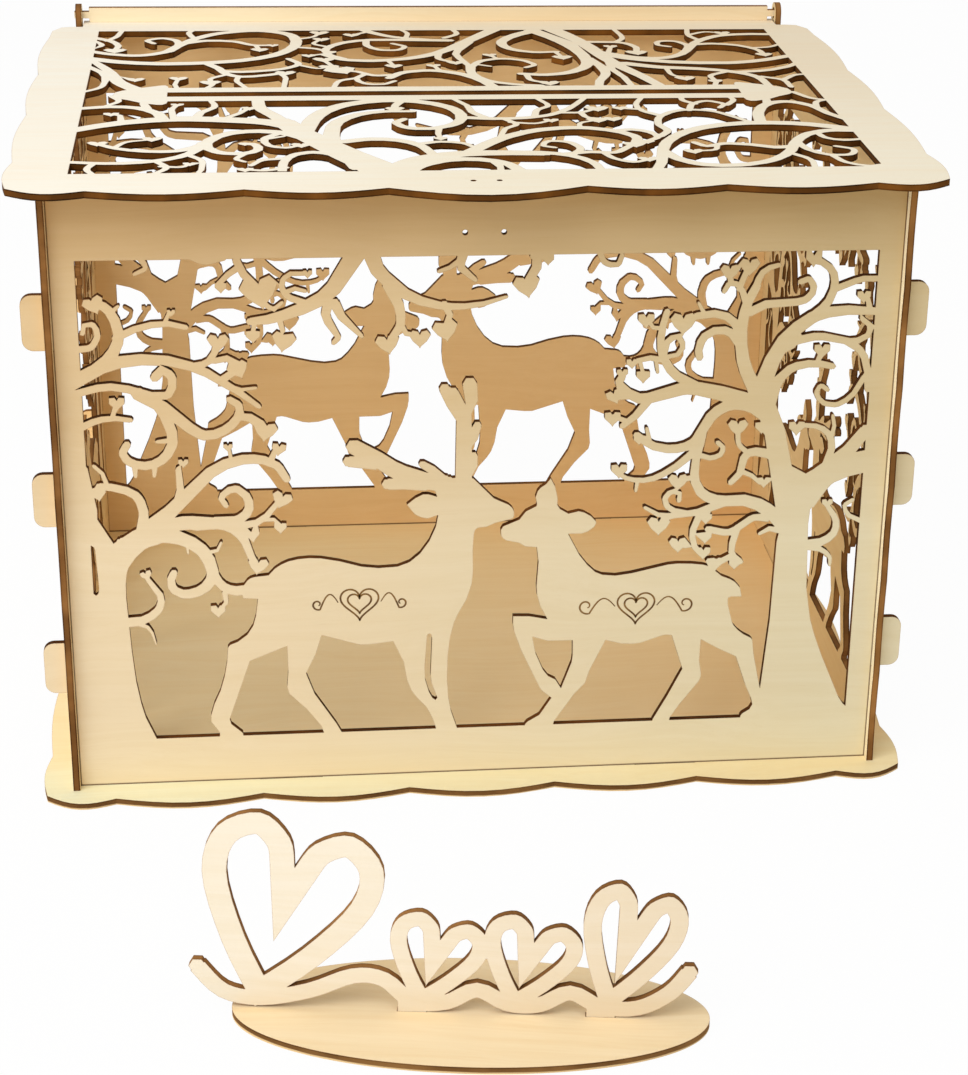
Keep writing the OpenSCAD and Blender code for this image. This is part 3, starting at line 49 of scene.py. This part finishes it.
class Tree:
    # short way to add and join shader nodes
    def __init__(self, nodeTree):
        self.tree = nodeTree

    def add(self, kind, **settings):
        node = self.tree.nodes.new(kind)
        for name, value in settings.items():
            setattr(node, name, value)
        return node

    def feed(self, source, target):
        self.tree.links.new(source, target)

    def math(self, operation, first, second=None, clamp=False):
        node = self.add("ShaderNodeMath", operation=operation, use_clamp=clamp)
        for socket, value in zip(node.inputs, (first, second)):
            if value is None:
                continue
            if isinstance(value, (int, float)):
                socket.default_value = value
            else:
                self.feed(value, socket)
        return node.outputs[0]

    def ramp(self, factor, low, high):
        # smooth step from 0 at low to 1 at high
        node = self.add("ShaderNodeMapRange", clamp=True, interpolation_type="SMOOTHSTEP")
        node.inputs["From Min"].default_value = low
        node.inputs["From Max"].default_value = high
        self.feed(factor, node.inputs["Value"])
        return node.outputs["Result"]

    def blend(self, factor, first, second, mode="MIX"):
        # the mix node's sockets 6 and 7 and its output 2 are the ones for colours
        node = self.add("ShaderNodeMix", data_type="RGBA", blend_type=mode)
        for socket, value in ((node.inputs[0], factor), (node.inputs[6], first),
                              (node.inputs[7], second)):
            if isinstance(value, (int, float, list, tuple)):
                socket.default_value = value
            else:
                self.feed(value, socket)
        return node.outputs[2]

    def noise(self, vector, scale, detail, roughness):
        node = self.add("ShaderNodeTexNoise")
        node.inputs["Scale"].default_value = scale
        node.inputs["Detail"].default_value = detail
        node.inputs["Roughness"].default_value = roughness
        self.feed(vector, node.inputs["Vector"])
        return node.outputs["Fac"]

    def layer(self, vector, values):
        # noise drawn out along x: stretch along and across, scale, detail, roughness
        alongX, across, scale, detail, roughness = values
        node = self.add("ShaderNodeVectorMath", operation="MULTIPLY")
        node.inputs[1].default_value = (alongX, across, across)
        self.feed(vector, node.inputs[0])
        return self.noise(node.outputs[0], scale, detail, roughness)

    def part(self, factor, values):
        # the range of factor that counts, from low to high, times its share
        low, high, share = values
        return self.math("MULTIPLY", self.ramp(factor, low, high), share)

    def along(self, vector, axis):
        node = self.add("ShaderNodeVectorMath", operation="DOT_PRODUCT")
        node.inputs[1].default_value = axis
        self.feed(vector, node.inputs[0])
        return node.outputs["Value"]


def newGroup(name, inputs, outputs):
    group = bpy.data.node_groups.new(name, "ShaderNodeTree")
    for kind, label, value in inputs:
        socket = group.interface.new_socket(label, in_out="INPUT", socket_type=kind)
        if value is not None:
            socket.default_value = value
    for kind, label in outputs:
        group.interface.new_socket(label, in_out="OUTPUT", socket_type=kind)
    tree = Tree(group)
    return tree, tree.add("NodeGroupInput"), tree.add("NodeGroupOutput")


birch = {
    # layers of noise: stretch along and across the fibres, scale, detail, roughness
    "wander": (3.0, 9.0, 1.6, 2.0, 0.55),
    "bands": (4.0, 120.0, 1.4, 4.0, 0.6),
    "lines": (9.0, 520.0, 1.0, 3.0, 0.6),
    "cloud": (7.0, 16.0, 1.3, 2.0, 0.55),
    "pores": (60.0, 2400.0, 1.0, 2.0, 0.6),
    "bend": 0.05,                        # how far the wander carries the lines sideways
    # what of each layer shows: low and high end of its range, and its share
    "bandPart": (0.30, 0.72, 0.45),
    "linePart": (0.32, 0.72, 0.35),
    "cloudPart": (0.30, 0.70, 0.20),
    "fleckPart": (0.58, 0.78, 0.10),
    "lineRelief": 0.5,
    "poreRelief": 0.5,
}


def veneerGrain():
    # faint lines and fine pores of rotary-cut birch; Place runs along the grain in x
    tree, given, result = newGroup(
        "veneerGrain",
        [("NodeSocketVector", "Place", None), ("NodeSocketColor", "Pale", (1, 1, 1, 1)),
         ("NodeSocketColor", "Warm", (0.8, 0.7, 0.5, 1)), ("NodeSocketFloat", "Figure", 0.5)],
        [("NodeSocketColor", "Color"), ("NodeSocketFloat", "Pores")])
    place = given.outputs["Place"]
    # a slow wander makes the lines bend as they do round the log
    wander = tree.math("MULTIPLY", tree.layer(place, birch["wander"]), birch["bend"])
    shift = tree.add("ShaderNodeCombineXYZ")
    tree.feed(wander, shift.inputs["Y"])
    tree.feed(wander, shift.inputs["Z"])
    moved = tree.add("ShaderNodeVectorMath", operation="ADD")
    tree.feed(place, moved.inputs[0])
    tree.feed(shift.outputs[0], moved.inputs[1])
    bent = moved.outputs[0]
    lines = tree.layer(bent, birch["lines"])
    pores = tree.layer(bent, birch["pores"])
    figure = tree.math("ADD", tree.part(tree.layer(bent, birch["bands"]), birch["bandPart"]),
                       tree.part(lines, birch["linePart"]))
    figure = tree.math("ADD", figure,
                       tree.part(tree.layer(place, birch["cloud"]), birch["cloudPart"]))
    colour = tree.blend(tree.math("MULTIPLY", figure, given.outputs["Figure"]),
                        given.outputs["Pale"], given.outputs["Warm"])
    colour = tree.blend(tree.part(pores, birch["fleckPart"]), colour, given.outputs["Warm"],
                        "MULTIPLY")
    tree.feed(colour, result.inputs["Color"])
    tree.feed(tree.math("ADD", tree.math("MULTIPLY", lines, birch["lineRelief"]),
                        tree.math("MULTIPLY", pores, birch["poreRelief"])),
              result.inputs["Pores"])
    return tree.tree


cutEdge = {
    "patches": (30.0, 3.0, 0.6),         # scale, detail and roughness of each noise
    "streaks": (460.0, 2.0, 0.6),
    # browner core and patches: low and high end of the range that shows, and its share;
    # the core's range runs from 0 at a face to 1 in the middle of the sheet
    "corePart": (0.28, 0.46, 0.30),
    "patchPart": (0.38, 0.70, 0.55),
    "streakShare": 0.15,
    "border": (-0.12, 0.10),             # soft border to the raw part, in sheet thicknesses
    "uneven": 0.5,                       # how far the patches push that border about
}


def burntCut():
    # laser-burnt edge: dark outer veneers, browner core, patches where the beam ran faster;
    # Burnt is the share of the thickness that took the burn, counted from the upper face
    tree, given, result = newGroup(
        "burntCut",
        [("NodeSocketVector", "Place", None), ("NodeSocketFloat", "Depth", 0.5),
         ("NodeSocketColor", "Char", (0.05, 0.02, 0.01, 1)),
         ("NodeSocketColor", "Scorch", (0.4, 0.2, 0.08, 1)),
         ("NodeSocketColor", "Raw", (0.8, 0.6, 0.35, 1)), ("NodeSocketFloat", "Burnt", 1.0)],
        [("NodeSocketColor", "Color"), ("NodeSocketFloat", "Ridges")])
    place = given.outputs["Place"]
    depth = given.outputs["Depth"]
    patches = tree.noise(place, *cutEdge["patches"])
    streaks = tree.noise(place, *cutEdge["streaks"])
    fromMiddle = tree.math("ABSOLUTE", tree.math("SUBTRACT", depth, 0.5))
    middle = tree.math("SUBTRACT", 1.0, tree.math("MULTIPLY", fromMiddle, 2.0))
    glow = tree.math("ADD", tree.part(patches, cutEdge["patchPart"]),
                     tree.part(middle, cutEdge["corePart"]))
    glow = tree.math("ADD", glow, tree.math("MULTIPLY", streaks, cutEdge["streakShare"]),
                     clamp=True)
    burn = tree.blend(glow, given.outputs["Char"], given.outputs["Scorch"])
    # the raw part starts where the depth falls under 1 - Burnt, with an uneven border
    border = tree.math("SUBTRACT", 1.0, given.outputs["Burnt"])
    uneven = tree.math("MULTIPLY", tree.math("SUBTRACT", patches, 0.5), cutEdge["uneven"])
    over = tree.math("SUBTRACT", tree.math("ADD", depth, uneven), border)
    tree.feed(tree.blend(tree.ramp(over, *cutEdge["border"]), given.outputs["Raw"], burn),
              result.inputs["Color"])
    tree.feed(streaks, result.inputs["Ridges"])
    return tree.tree


def paintedShadeDrift():
    # painted shade: the sheet's colour darkened towards Tint between two places along it,
    # standing in for shade that the lamps give
    tree, given, result = newGroup(
        "paintedShadeDrift",
        [("NodeSocketColor", "Color", (1, 1, 1, 1)), ("NodeSocketFloat", "Along", 0.0),
         ("NodeSocketFloat", "Start", 0.0), ("NodeSocketFloat", "End", 1.0),
         ("NodeSocketColor", "Tint", (1, 1, 1, 1))],
        [("NodeSocketColor", "Color")])
    share = tree.math("DIVIDE",
                      tree.math("SUBTRACT", given.outputs["Along"], given.outputs["Start"]),
                      tree.math("SUBTRACT", given.outputs["End"], given.outputs["Start"]),
                      clamp=True)
    tree.feed(tree.blend(share, given.outputs["Color"],
                         tree.blend(1.0, given.outputs["Color"], given.outputs["Tint"],
                                    "MULTIPLY")), result.inputs["Color"])
    return tree.tree


def charAndShadeSeam():
    # dark seam where one sheet meets another, at one place along a direction; partly char,
    # partly painted shade in the joint
    tree, given, result = newGroup(
        "charAndShadeSeam",
        [("NodeSocketColor", "Color", (1, 1, 1, 1)), ("NodeSocketFloat", "Along", 0.0),
         ("NodeSocketFloat", "Seam", 0.0), ("NodeSocketFloat", "Width", 0.0005),
         ("NodeSocketColor", "CharAndShade", (0.2, 0.1, 0.05, 1))],
        [("NodeSocketColor", "Color")])
    away = tree.math("ABSOLUTE", tree.math("SUBTRACT", given.outputs["Along"],
                                           given.outputs["Seam"]))
    near = tree.math("SUBTRACT", 1.0, tree.math("DIVIDE", away, given.outputs["Width"]),
                     clamp=True)
    tree.feed(tree.blend(near, given.outputs["Color"], given.outputs["CharAndShade"]),
              result.inputs["Color"])
    return tree.tree


veneerGroup = veneerGrain()
burntGroup = burntCut()
paintedShadeGroup = paintedShadeDrift()
seamGroup = charAndShadeSeam()
print("grain, burn, drift and seams ready")


turn = math.radians(-8)                  # the ornament is turned a little to the left
turned = (math.cos(turn), math.sin(turn), 0)
plywood = {
    "faceRoughness": 0.62,
    "edgeRoughness": 0.92,
    "shine": 0.1,
    "grainBump": 0.12,                   # strength and depth of the grain's relief
    "grainRelief": 0.0002,
    "onFace": (0.6, 0.8),                # how squarely a spot must face out to be veneer
    "rimWidth": 0.0005,                  # brown rim left by the beam beside every cut
    "rimDepth": 0.6,
    "rimTurn": (0.01, 0.16),             # turn of the rounded normal from none to full rim
    "rimSamples": 6,
    "rimColour": "#a87844",
    "raw": "#e8c894",                    # unburnt veneer in a cut edge
    # colour of the seams: partly char of the cut, partly painted shade where two sheets meet
    "seamCharAndShade": "#5a3818",                  # seam where two sheets meet
    # normal is the sheet's face direction and grain the direction of its fibres; burnt is
    # the share of the thickness that took the burn, and at 1.2 the soft border to the raw
    # part is off the sheet too; each painted shade is a direction, where it starts and ends
    # along it, and the tint it arrives at, and darkens the veneer where the lamps leave the
    # sheet in shade; each seam is a direction, its place along it and its half width
    # each sheet's pale and warm colours are partly its own tone and partly painted light and
    # shade: the lid's are paler as its lit top, and the back and left panels' are darker and
    # warmer as the shaded inside of the box
    "base_plate": {
        "normal": (0, 0, 1), "grain": (1, 0, 0), "figure": 0.5,
        "pale": "#fef0cc", "warm": "#f4dca6", "char": "#4a2c12", "scorch": "#8a6236",
        "burnt": 0.8, "paintedShades": [
            ((1, 0, 0), -0.12, 0.12, "#fff1e3"),
            ((0, 1, 0), -0.112, -0.098, "#fffcf3"),
            ((0, -1, 0), 0.098, 0.112, "#f5ffff"),
            ((0, 1, 0), 0.0, 0.1, "#fffaef")]},
    "front_panel": {
        "normal": (0, 1, 0), "grain": (1, 0, 0), "figure": 0.3,
        "pale": "#f5e2be", "warm": "#e2c68d", "char": "#180900", "scorch": "#6a3c12",
        "burnt": 1.2, "paintedShades": [
            ((0, 0, 1), 0.008, 0.035, "#f8f6f5"),
            ((0, 0, 1), 0.095, 0.15, "#efe5d6"),
            ((0, 0, 1), 0.19, 0.232, "#decdb3"),
            ((1, 0, 0), -0.08, 0.13, "#f5fdff")],
        "seams": [((0, 0, 1), 0.0027, 0.0006), ((1, 0, 0), 0.1497, 0.0003),
                  ((-1, 0, 0), 0.1497, 0.0003)]},
    "back_panel": {
        "normal": (0, 1, 0), "grain": (1, 0, 0), "figure": 0.35,
        "pale": "#f5d39e", "warm": "#dfb270", "char": "#331a06", "scorch": "#875828",
        "burnt": 1.2, "paintedShades": [],
        "seams": [((0, 0, 1), 0.0028, 0.0006)]},
    "left_panel": {
        "normal": (1, 0, 0), "grain": (0, 1, 0), "figure": 0.4,
        "pale": "#f2d6a2", "warm": "#ddb473", "char": "#3d1d04", "scorch": "#a5733f",
        "burnt": 1.2, "paintedShades": []},
    # the right panel's pale is raised and its painted shade spares only the strip at the
    # front, so that strip shows painted light where the light from the left catches it
    "right_panel": {
        "normal": (1, 0, 0), "grain": (0, 1, 0), "figure": 0.4,
        "pale": "#fdf0d0", "warm": "#ecd3a0", "char": "#442407", "scorch": "#a87640",
        "burnt": 1.2, "paintedShades": [
            ((0, 1, 0), -0.1212, -0.1192, "#f3e5cb")]},
    "lid_panel": {
        "normal": (0, 0, 1), "grain": (1, 0, 0), "figure": 0.4,
        "pale": "#fdf7e7", "warm": "#fbe6c5", "char": "#120600", "scorch": "#86521c",
        "burnt": 1.2, "paintedShades": [
            ((1, 0, 0), -0.1, 0.0, "#f8f5ed"),
            ((0.45, 0.9, 0), 0.0, 0.11, "#f9f3ec")]},
    "hinge_rail": {
        "normal": (0, 1, 0), "grain": (1, 0, 0), "figure": 0.4,
        "pale": "#fbeccc", "warm": "#edd199", "char": "#3d1f08", "scorch": "#8e5e2e",
        "burnt": 1.2, "paintedShades": [
            ((1, 0, 0), -0.09, 0.06, "#f7f0e7")]},
    # the foot's burnt share of 0.75 leaves the lower part of its cut edges raw and pale:
    # painted light, for the white floor's light bleaching the edge near it
    "ornament_foot": {
        "normal": (0, 0, 1), "grain": turned, "figure": 0.55,
        "pale": "#f8e3bc", "warm": "#e9c88f", "char": "#4e2f12", "scorch": "#9a7040",
        "burnt": 0.75, "paintedShades": []},
    "ornament": {
        "normal": (-math.sin(turn), math.cos(turn), 0), "grain": turned, "figure": 0.4,
        "pale": "#f9eeda", "warm": "#ecd9b2", "char": "#5c3715", "scorch": "#a87845",
        "burnt": 1.2, "paintedShades": [
            ((1, 0, 0), -0.05, 0.07, "#f6efe5"),
            ((0, 0, -1), -0.02, -0.004, "#f8f6f1")]},
}


def plySheet(name):
    sheet = plywood[name]
    material = bpy.data.materials.new("birch_" + name)
    material.use_nodes = True
    tree = Tree(material.node_tree)
    shader = material.node_tree.nodes["Principled BSDF"]
    shader.inputs["Specular IOR Level"].default_value = plywood["shine"]
    coords = tree.add("ShaderNodeTexCoord")
    spot = coords.outputs["Object"]
    normal = Vector(sheet["normal"]).normalized()
    grain = Vector(sheet["grain"]).normalized()
    # place along the fibres, across them and through the sheet
    rows = [tree.along(spot, axis) for axis in (grain, normal.cross(grain), normal)]
    place = tree.add("ShaderNodeCombineXYZ")
    for value, socket in zip(rows, place.inputs):
        tree.feed(value, socket)

    veneer = tree.add("ShaderNodeGroup", node_tree=veneerGroup)
    tree.feed(place.outputs[0], veneer.inputs["Place"])
    veneer.inputs["Pale"].default_value = paint(sheet["pale"])
    veneer.inputs["Warm"].default_value = paint(sheet["warm"])
    veneer.inputs["Figure"].default_value = sheet["figure"]
    face = veneer.outputs["Color"]
    # painted shade: the veneer darkens towards each tint where the lamps leave the sheet in
    # shade, such as under the lid's overhang and on the side away from the key lamp
    for axis, start, end, tint in sheet["paintedShades"]:
        drift = tree.add("ShaderNodeGroup", node_tree=paintedShadeGroup)
        tree.feed(face, drift.inputs["Color"])
        tree.feed(tree.along(spot, axis), drift.inputs["Along"])
        drift.inputs["Start"].default_value = start
        drift.inputs["End"].default_value = end
        drift.inputs["Tint"].default_value = paint(tint)
        face = drift.outputs["Color"]
    # seams darken the face where another sheet meets it: partly char, partly painted shade in
    # the joint
    for axis, middle, halfWidth in sheet.get("seams", []):
        seam = tree.add("ShaderNodeGroup", node_tree=seamGroup)
        tree.feed(face, seam.inputs["Color"])
        tree.feed(tree.along(spot, axis), seam.inputs["Along"])
        seam.inputs["Seam"].default_value = middle
        seam.inputs["Width"].default_value = halfWidth
        seam.inputs["CharAndShade"].default_value = paint(plywood["seamCharAndShade"])
        face = seam.outputs["Color"]

    # rim beside the cuts, where the rounded normal leaves the flat one
    rounded = tree.add("ShaderNodeBevel", samples=plywood["rimSamples"])
    rounded.inputs["Radius"].default_value = plywood["rimWidth"]
    flat = tree.add("ShaderNodeNewGeometry")
    agree = tree.add("ShaderNodeVectorMath", operation="DOT_PRODUCT")
    tree.feed(rounded.outputs["Normal"], agree.inputs[0])
    tree.feed(flat.outputs["True Normal"], agree.inputs[1])
    rim = tree.ramp(tree.math("SUBTRACT", 1.0, agree.outputs["Value"]), *plywood["rimTurn"])
    face = tree.blend(tree.math("MULTIPLY", rim, plywood["rimDepth"]), face,
                      tree.blend(1.0, face, paint(plywood["rimColour"]), "MULTIPLY"))

    cut = tree.add("ShaderNodeGroup", node_tree=burntGroup)
    tree.feed(spot, cut.inputs["Place"])
    reach = [normal.dot(v.co) for v in nodes[name].data.vertices]
    depth = tree.math("DIVIDE", tree.math("SUBTRACT", rows[2], min(reach)),
                      max(reach) - min(reach))
    tree.feed(depth, cut.inputs["Depth"])
    cut.inputs["Char"].default_value = paint(sheet["char"])
    cut.inputs["Scorch"].default_value = paint(sheet["scorch"])
    cut.inputs["Raw"].default_value = paint(plywood["raw"])
    cut.inputs["Burnt"].default_value = sheet["burnt"]

    # the two faces of the sheet are veneer and everything else is a cut edge, which is
    # dry and hardly shines
    onFace = tree.ramp(tree.math("ABSOLUTE", tree.along(coords.outputs["Normal"], normal)),
                       *plywood["onFace"])
    tree.feed(tree.math("SUBTRACT", plywood["edgeRoughness"], tree.math(
        "MULTIPLY", onFace, plywood["edgeRoughness"] - plywood["faceRoughness"])),
        shader.inputs["Roughness"])
    tree.feed(tree.blend(onFace, cut.outputs["Color"], face), shader.inputs["Base Color"])

    relief = tree.blend(onFace, cut.outputs["Ridges"], veneer.outputs["Pores"])
    bump = tree.add("ShaderNodeBump")
    bump.inputs["Strength"].default_value = plywood["grainBump"]
    bump.inputs["Distance"].default_value = plywood["grainRelief"]
    tree.feed(relief, bump.inputs["Height"])
    tree.feed(bump.outputs["Normal"], shader.inputs["Normal"])
    return material


for name, node in nodes.items():
    node.data.materials.clear()
    node.data.materials.append(plySheet(name))
print("plywood finishes set")


scoring = {
    "line": 0.00068,                     # width of a scored line
    "tip": 0.45,                         # share of that width at the ends of an open line
    "proud": 0.00005,                    # the line is laid this far over the veneer
    "colour": "#86622f",
    "ends": "#5f3f17",
    "roughness": 0.8,
    "streaks": (260.0, 2.0, 0.55),       # scale, detail and roughness of the noise
    "streakRange": (0.38, 0.62),
    # middle of each ornament in x and z, its whole width and its heart's width
    "stag": (-0.045, 0.0750, 0.038, 0.0140),
    "doe": (0.058, 0.0700, 0.048, 0.0140),
    "innerHeart": 0.62,                  # shares of the outer heart's width
    "scrollStart": 0.56,
    "heartPoints": 64,
    "stemPoints": 18,
    "curlPoints": 43,
    "rise": 0.0052,                      # height of a scroll's stem
    "swell": 0.9,                        # its hump and its fall, as shares of the rise
    "fall": 0.5,
    "stem": 0.60,                        # length of the stem as a share of the reach
    "curl": 0.20,                        # radius of the curl as a share of the reach
    "curlMiddle": (0.35, 0.94),          # from the stem's end, in radii
    "curlStart": -math.pi / 2 - 0.35,    # angles in radians
    "curlTurn": 1.955 * math.pi,
    "curlLoss": 0.78,                    # share of the radius lost along the curl
}


def heartPoint(t, width):
    # one point of a heart of that width; the usual heart curve is 32 wide
    scale = width / 32
    return (scale * 16 * math.sin(t) ** 3,
            scale * (13 * math.cos(t) - 5 * math.cos(2 * t) - 2 * math.cos(3 * t)
                     - math.cos(4 * t)))


def scrollPoints(start, reach, side):
    # a stem that leaves the heart, swells up and curls in on itself
    points = []
    for i in range(scoring["stemPoints"]):
        t = i / (scoring["stemPoints"] - 1)
        hump = scoring["swell"] * math.sin(math.pi * t) - scoring["fall"] * t
        points.append((side * (start + reach * scoring["stem"] * t), scoring["rise"] * hump))
    radius = reach * scoring["curl"]
    aside, up = scoring["curlMiddle"]
    midX = start + reach * scoring["stem"] + radius * aside
    midZ = radius * up - scoring["fall"] * scoring["rise"]
    for i in range(1, scoring["curlPoints"] + 1):
        t = i / scoring["curlPoints"]
        angle = scoring["curlStart"] + t * scoring["curlTurn"]
        size = radius * (1 - scoring["curlLoss"] * t)
        points.append((side * (midX + size * math.cos(angle)), midZ + size * math.sin(angle)))
    return points


def scoredLine(name, points, closed, material):
    # flat ribbon along the points on the front panel's face
    mesh = bpy.data.meshes.new(name)
    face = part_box("front_panel")[0].y - scoring["proud"]
    count = len(points)
    verts = []
    for i, (x, z) in enumerate(points):
        before = points[(i - 1) % count] if closed or i else points[i]
        after = points[(i + 1) % count] if closed or i < count - 1 else points[i]
        way = Vector((after[0] - before[0], after[1] - before[1])).normalized()
        # open lines taper at their ends
        full = 1.0 if closed else math.sqrt(math.sin(math.pi * i / (count - 1)))
        half = scoring["line"] / 2 * (scoring["tip"] + (1 - scoring["tip"]) * full)
        verts += [(x - way.y * half, face, z + way.x * half),
                  (x + way.y * half, face, z - way.x * half)]
    spans = range(count if closed else count - 1)
    faces = [(2 * i, 2 * i + 1, 2 * ((i + 1) % count) + 1, 2 * ((i + 1) % count))
             for i in spans]
    mesh.from_pydata(verts, [], faces)
    mesh.materials.append(material)
    piece = bpy.data.objects.new(name, mesh)
    bpy.context.scene.collection.objects.link(piece)
    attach(piece, "box")


def scoredWood():
    # shallow laser score, browner and streaked
    material = bpy.data.materials.new("scored_birch")
    material.use_nodes = True
    tree = Tree(material.node_tree)
    shader = material.node_tree.nodes["Principled BSDF"]
    shader.inputs["Roughness"].default_value = scoring["roughness"]
    coords = tree.add("ShaderNodeTexCoord")
    streak = tree.noise(coords.outputs["Object"], *scoring["streaks"])
    colour = tree.blend(tree.ramp(streak, *scoring["streakRange"]), paint(scoring["ends"]),
                        paint(scoring["colour"]))
    tree.feed(colour, shader.inputs["Base Color"])
    return material


scored = scoredWood()
for animal in ("stag", "doe"):
    midX, midZ, width, heart = scoring[animal]

    def placed(points):
        return [(midX + x, midZ + z) for x, z in points]

    for part, size in (("outer", heart), ("inner", heart * scoring["innerHeart"])):
        outline = [heartPoint(2 * math.pi * i / scoring["heartPoints"], size)
                   for i in range(scoring["heartPoints"])]
        scoredLine("scored_heart_%s_%s" % (animal, part), placed(outline), True, scored)
    start = heart * scoring["scrollStart"]
    for part, side in (("left", -1), ("right", 1)):
        stem = scrollPoints(start, width / 2 - start, side)
        scoredLine("scored_scroll_%s_%s" % (animal, part), placed(stem), False, scored)
print("scored hearts laid")


studio = {
    "floorSize": 9.0,
    "floorColour": "#f4f2ee",
    "floorGlow": 0.96,                   # share of the floor that is seen as plain white
    "skyLight": 0.56,
    "lamps": [                           # name, place, size and power in watts
        ("key_softbox", (-0.8, -1.0, 1.45), 1.4, 18.4),
        ("fill_softbox", (-1.7, -0.9, 0.7), 1.2, 6.0)],
    "lampsAim": (0, -0.05, 0.12),
}


def straightSight(tree):
    # 1 for what the camera sees itself, in a gloss or through a clear part
    path = tree.add("ShaderNodeLightPath")
    seen = tree.math("ADD", path.outputs["Is Camera Ray"], path.outputs["Is Glossy Ray"])
    return tree.math("ADD", seen, path.outputs["Is Transmission Ray"], True)


def layFloor():
    half = studio["floorSize"] / 2
    mesh = bpy.data.meshes.new("floor")
    mesh.from_pydata([(-half, -half, 0), (half, -half, 0), (half, half, 0), (-half, half, 0)],
                     [], [(0, 1, 2, 3)])
    floor = bpy.data.objects.new("floor", mesh)
    bpy.context.scene.collection.objects.link(floor)
    material = bpy.data.materials.new("floor_paper")
    material.use_nodes = True
    tree = Tree(material.node_tree)
    material.node_tree.nodes.clear()
    paper = tree.add("ShaderNodeBsdfDiffuse")
    paper.inputs["Color"].default_value = paint(studio["floorColour"])
    glow = tree.add("ShaderNodeEmission")
    mix = tree.add("ShaderNodeMixShader")
    tree.feed(tree.math("MULTIPLY", straightSight(tree), studio["floorGlow"]), mix.inputs[0])
    tree.feed(paper.outputs[0], mix.inputs[1])
    tree.feed(glow.outputs[0], mix.inputs[2])
    out = tree.add("ShaderNodeOutputMaterial")
    tree.feed(mix.outputs[0], out.inputs["Surface"])
    mesh.materials.append(material)


def hangSky():
    world = bpy.data.worlds.new("studio")
    bpy.context.scene.world = world
    world.use_nodes = True
    tree = Tree(world.node_tree)
    world.node_tree.nodes.clear()
    # even white light, and plain white where the sky itself is seen
    mix = tree.add("ShaderNodeMixShader")
    tree.feed(straightSight(tree), mix.inputs[0])
    for strength, socket in ((studio["skyLight"], mix.inputs[1]), (1.0, mix.inputs[2])):
        sky = tree.add("ShaderNodeBackground")
        sky.inputs["Color"].default_value = (1.0, 1.0, 1.0, 1.0)
        sky.inputs["Strength"].default_value = strength
        tree.feed(sky.outputs[0], socket)
    out = tree.add("ShaderNodeOutputWorld")
    tree.feed(mix.outputs[0], out.inputs["Surface"])


def hangLamp(name, place, size, power):
    light = bpy.data.lights.new(name, "AREA")
    light.size = size
    light.energy = power
    lamp = bpy.data.objects.new(name, light)
    bpy.context.scene.collection.objects.link(lamp)
    aim = (Vector(studio["lampsAim"]) - Vector(place)).to_track_quat("-Z", "Y")
    lamp.matrix_world = Matrix.Translation(place) @ aim.to_matrix().to_4x4()


layFloor()
hangSky()
for lamp in studio["lamps"]:
    hangLamp(*lamp)
print("studio lit")


view = {
    "place": (-0.07853, -0.96624, 0.47056),
    "right": (0.99247, -0.12036, 0.02286),
    "down": (-0.02851, -0.40839, -0.91236),
    "ahead": (0.11915, 0.90484, -0.40874),
    "lens": 84.63,                       # lens and film width in millimetres
    "film": 36.0,
    "shift": (-0.0800, 0.0228),
}


def setCamera():
    camera = bpy.data.cameras.new("camera")
    camera.lens = view["lens"]
    camera.sensor_width = view["film"]
    camera.shift_x, camera.shift_y = view["shift"]
    holder = bpy.data.objects.new("camera", camera)
    bpy.context.scene.collection.objects.link(holder)
    axes = (Vector(view["right"]), -Vector(view["down"]), -Vector(view["ahead"]))
    facing = Matrix(axes).transposed().to_4x4()
    holder.matrix_world = Matrix.Translation(view["place"]) @ facing
    bpy.context.scene.camera = holder


setCamera()
bpy.context.scene.view_settings.view_transform = "Standard"
print("camera set")
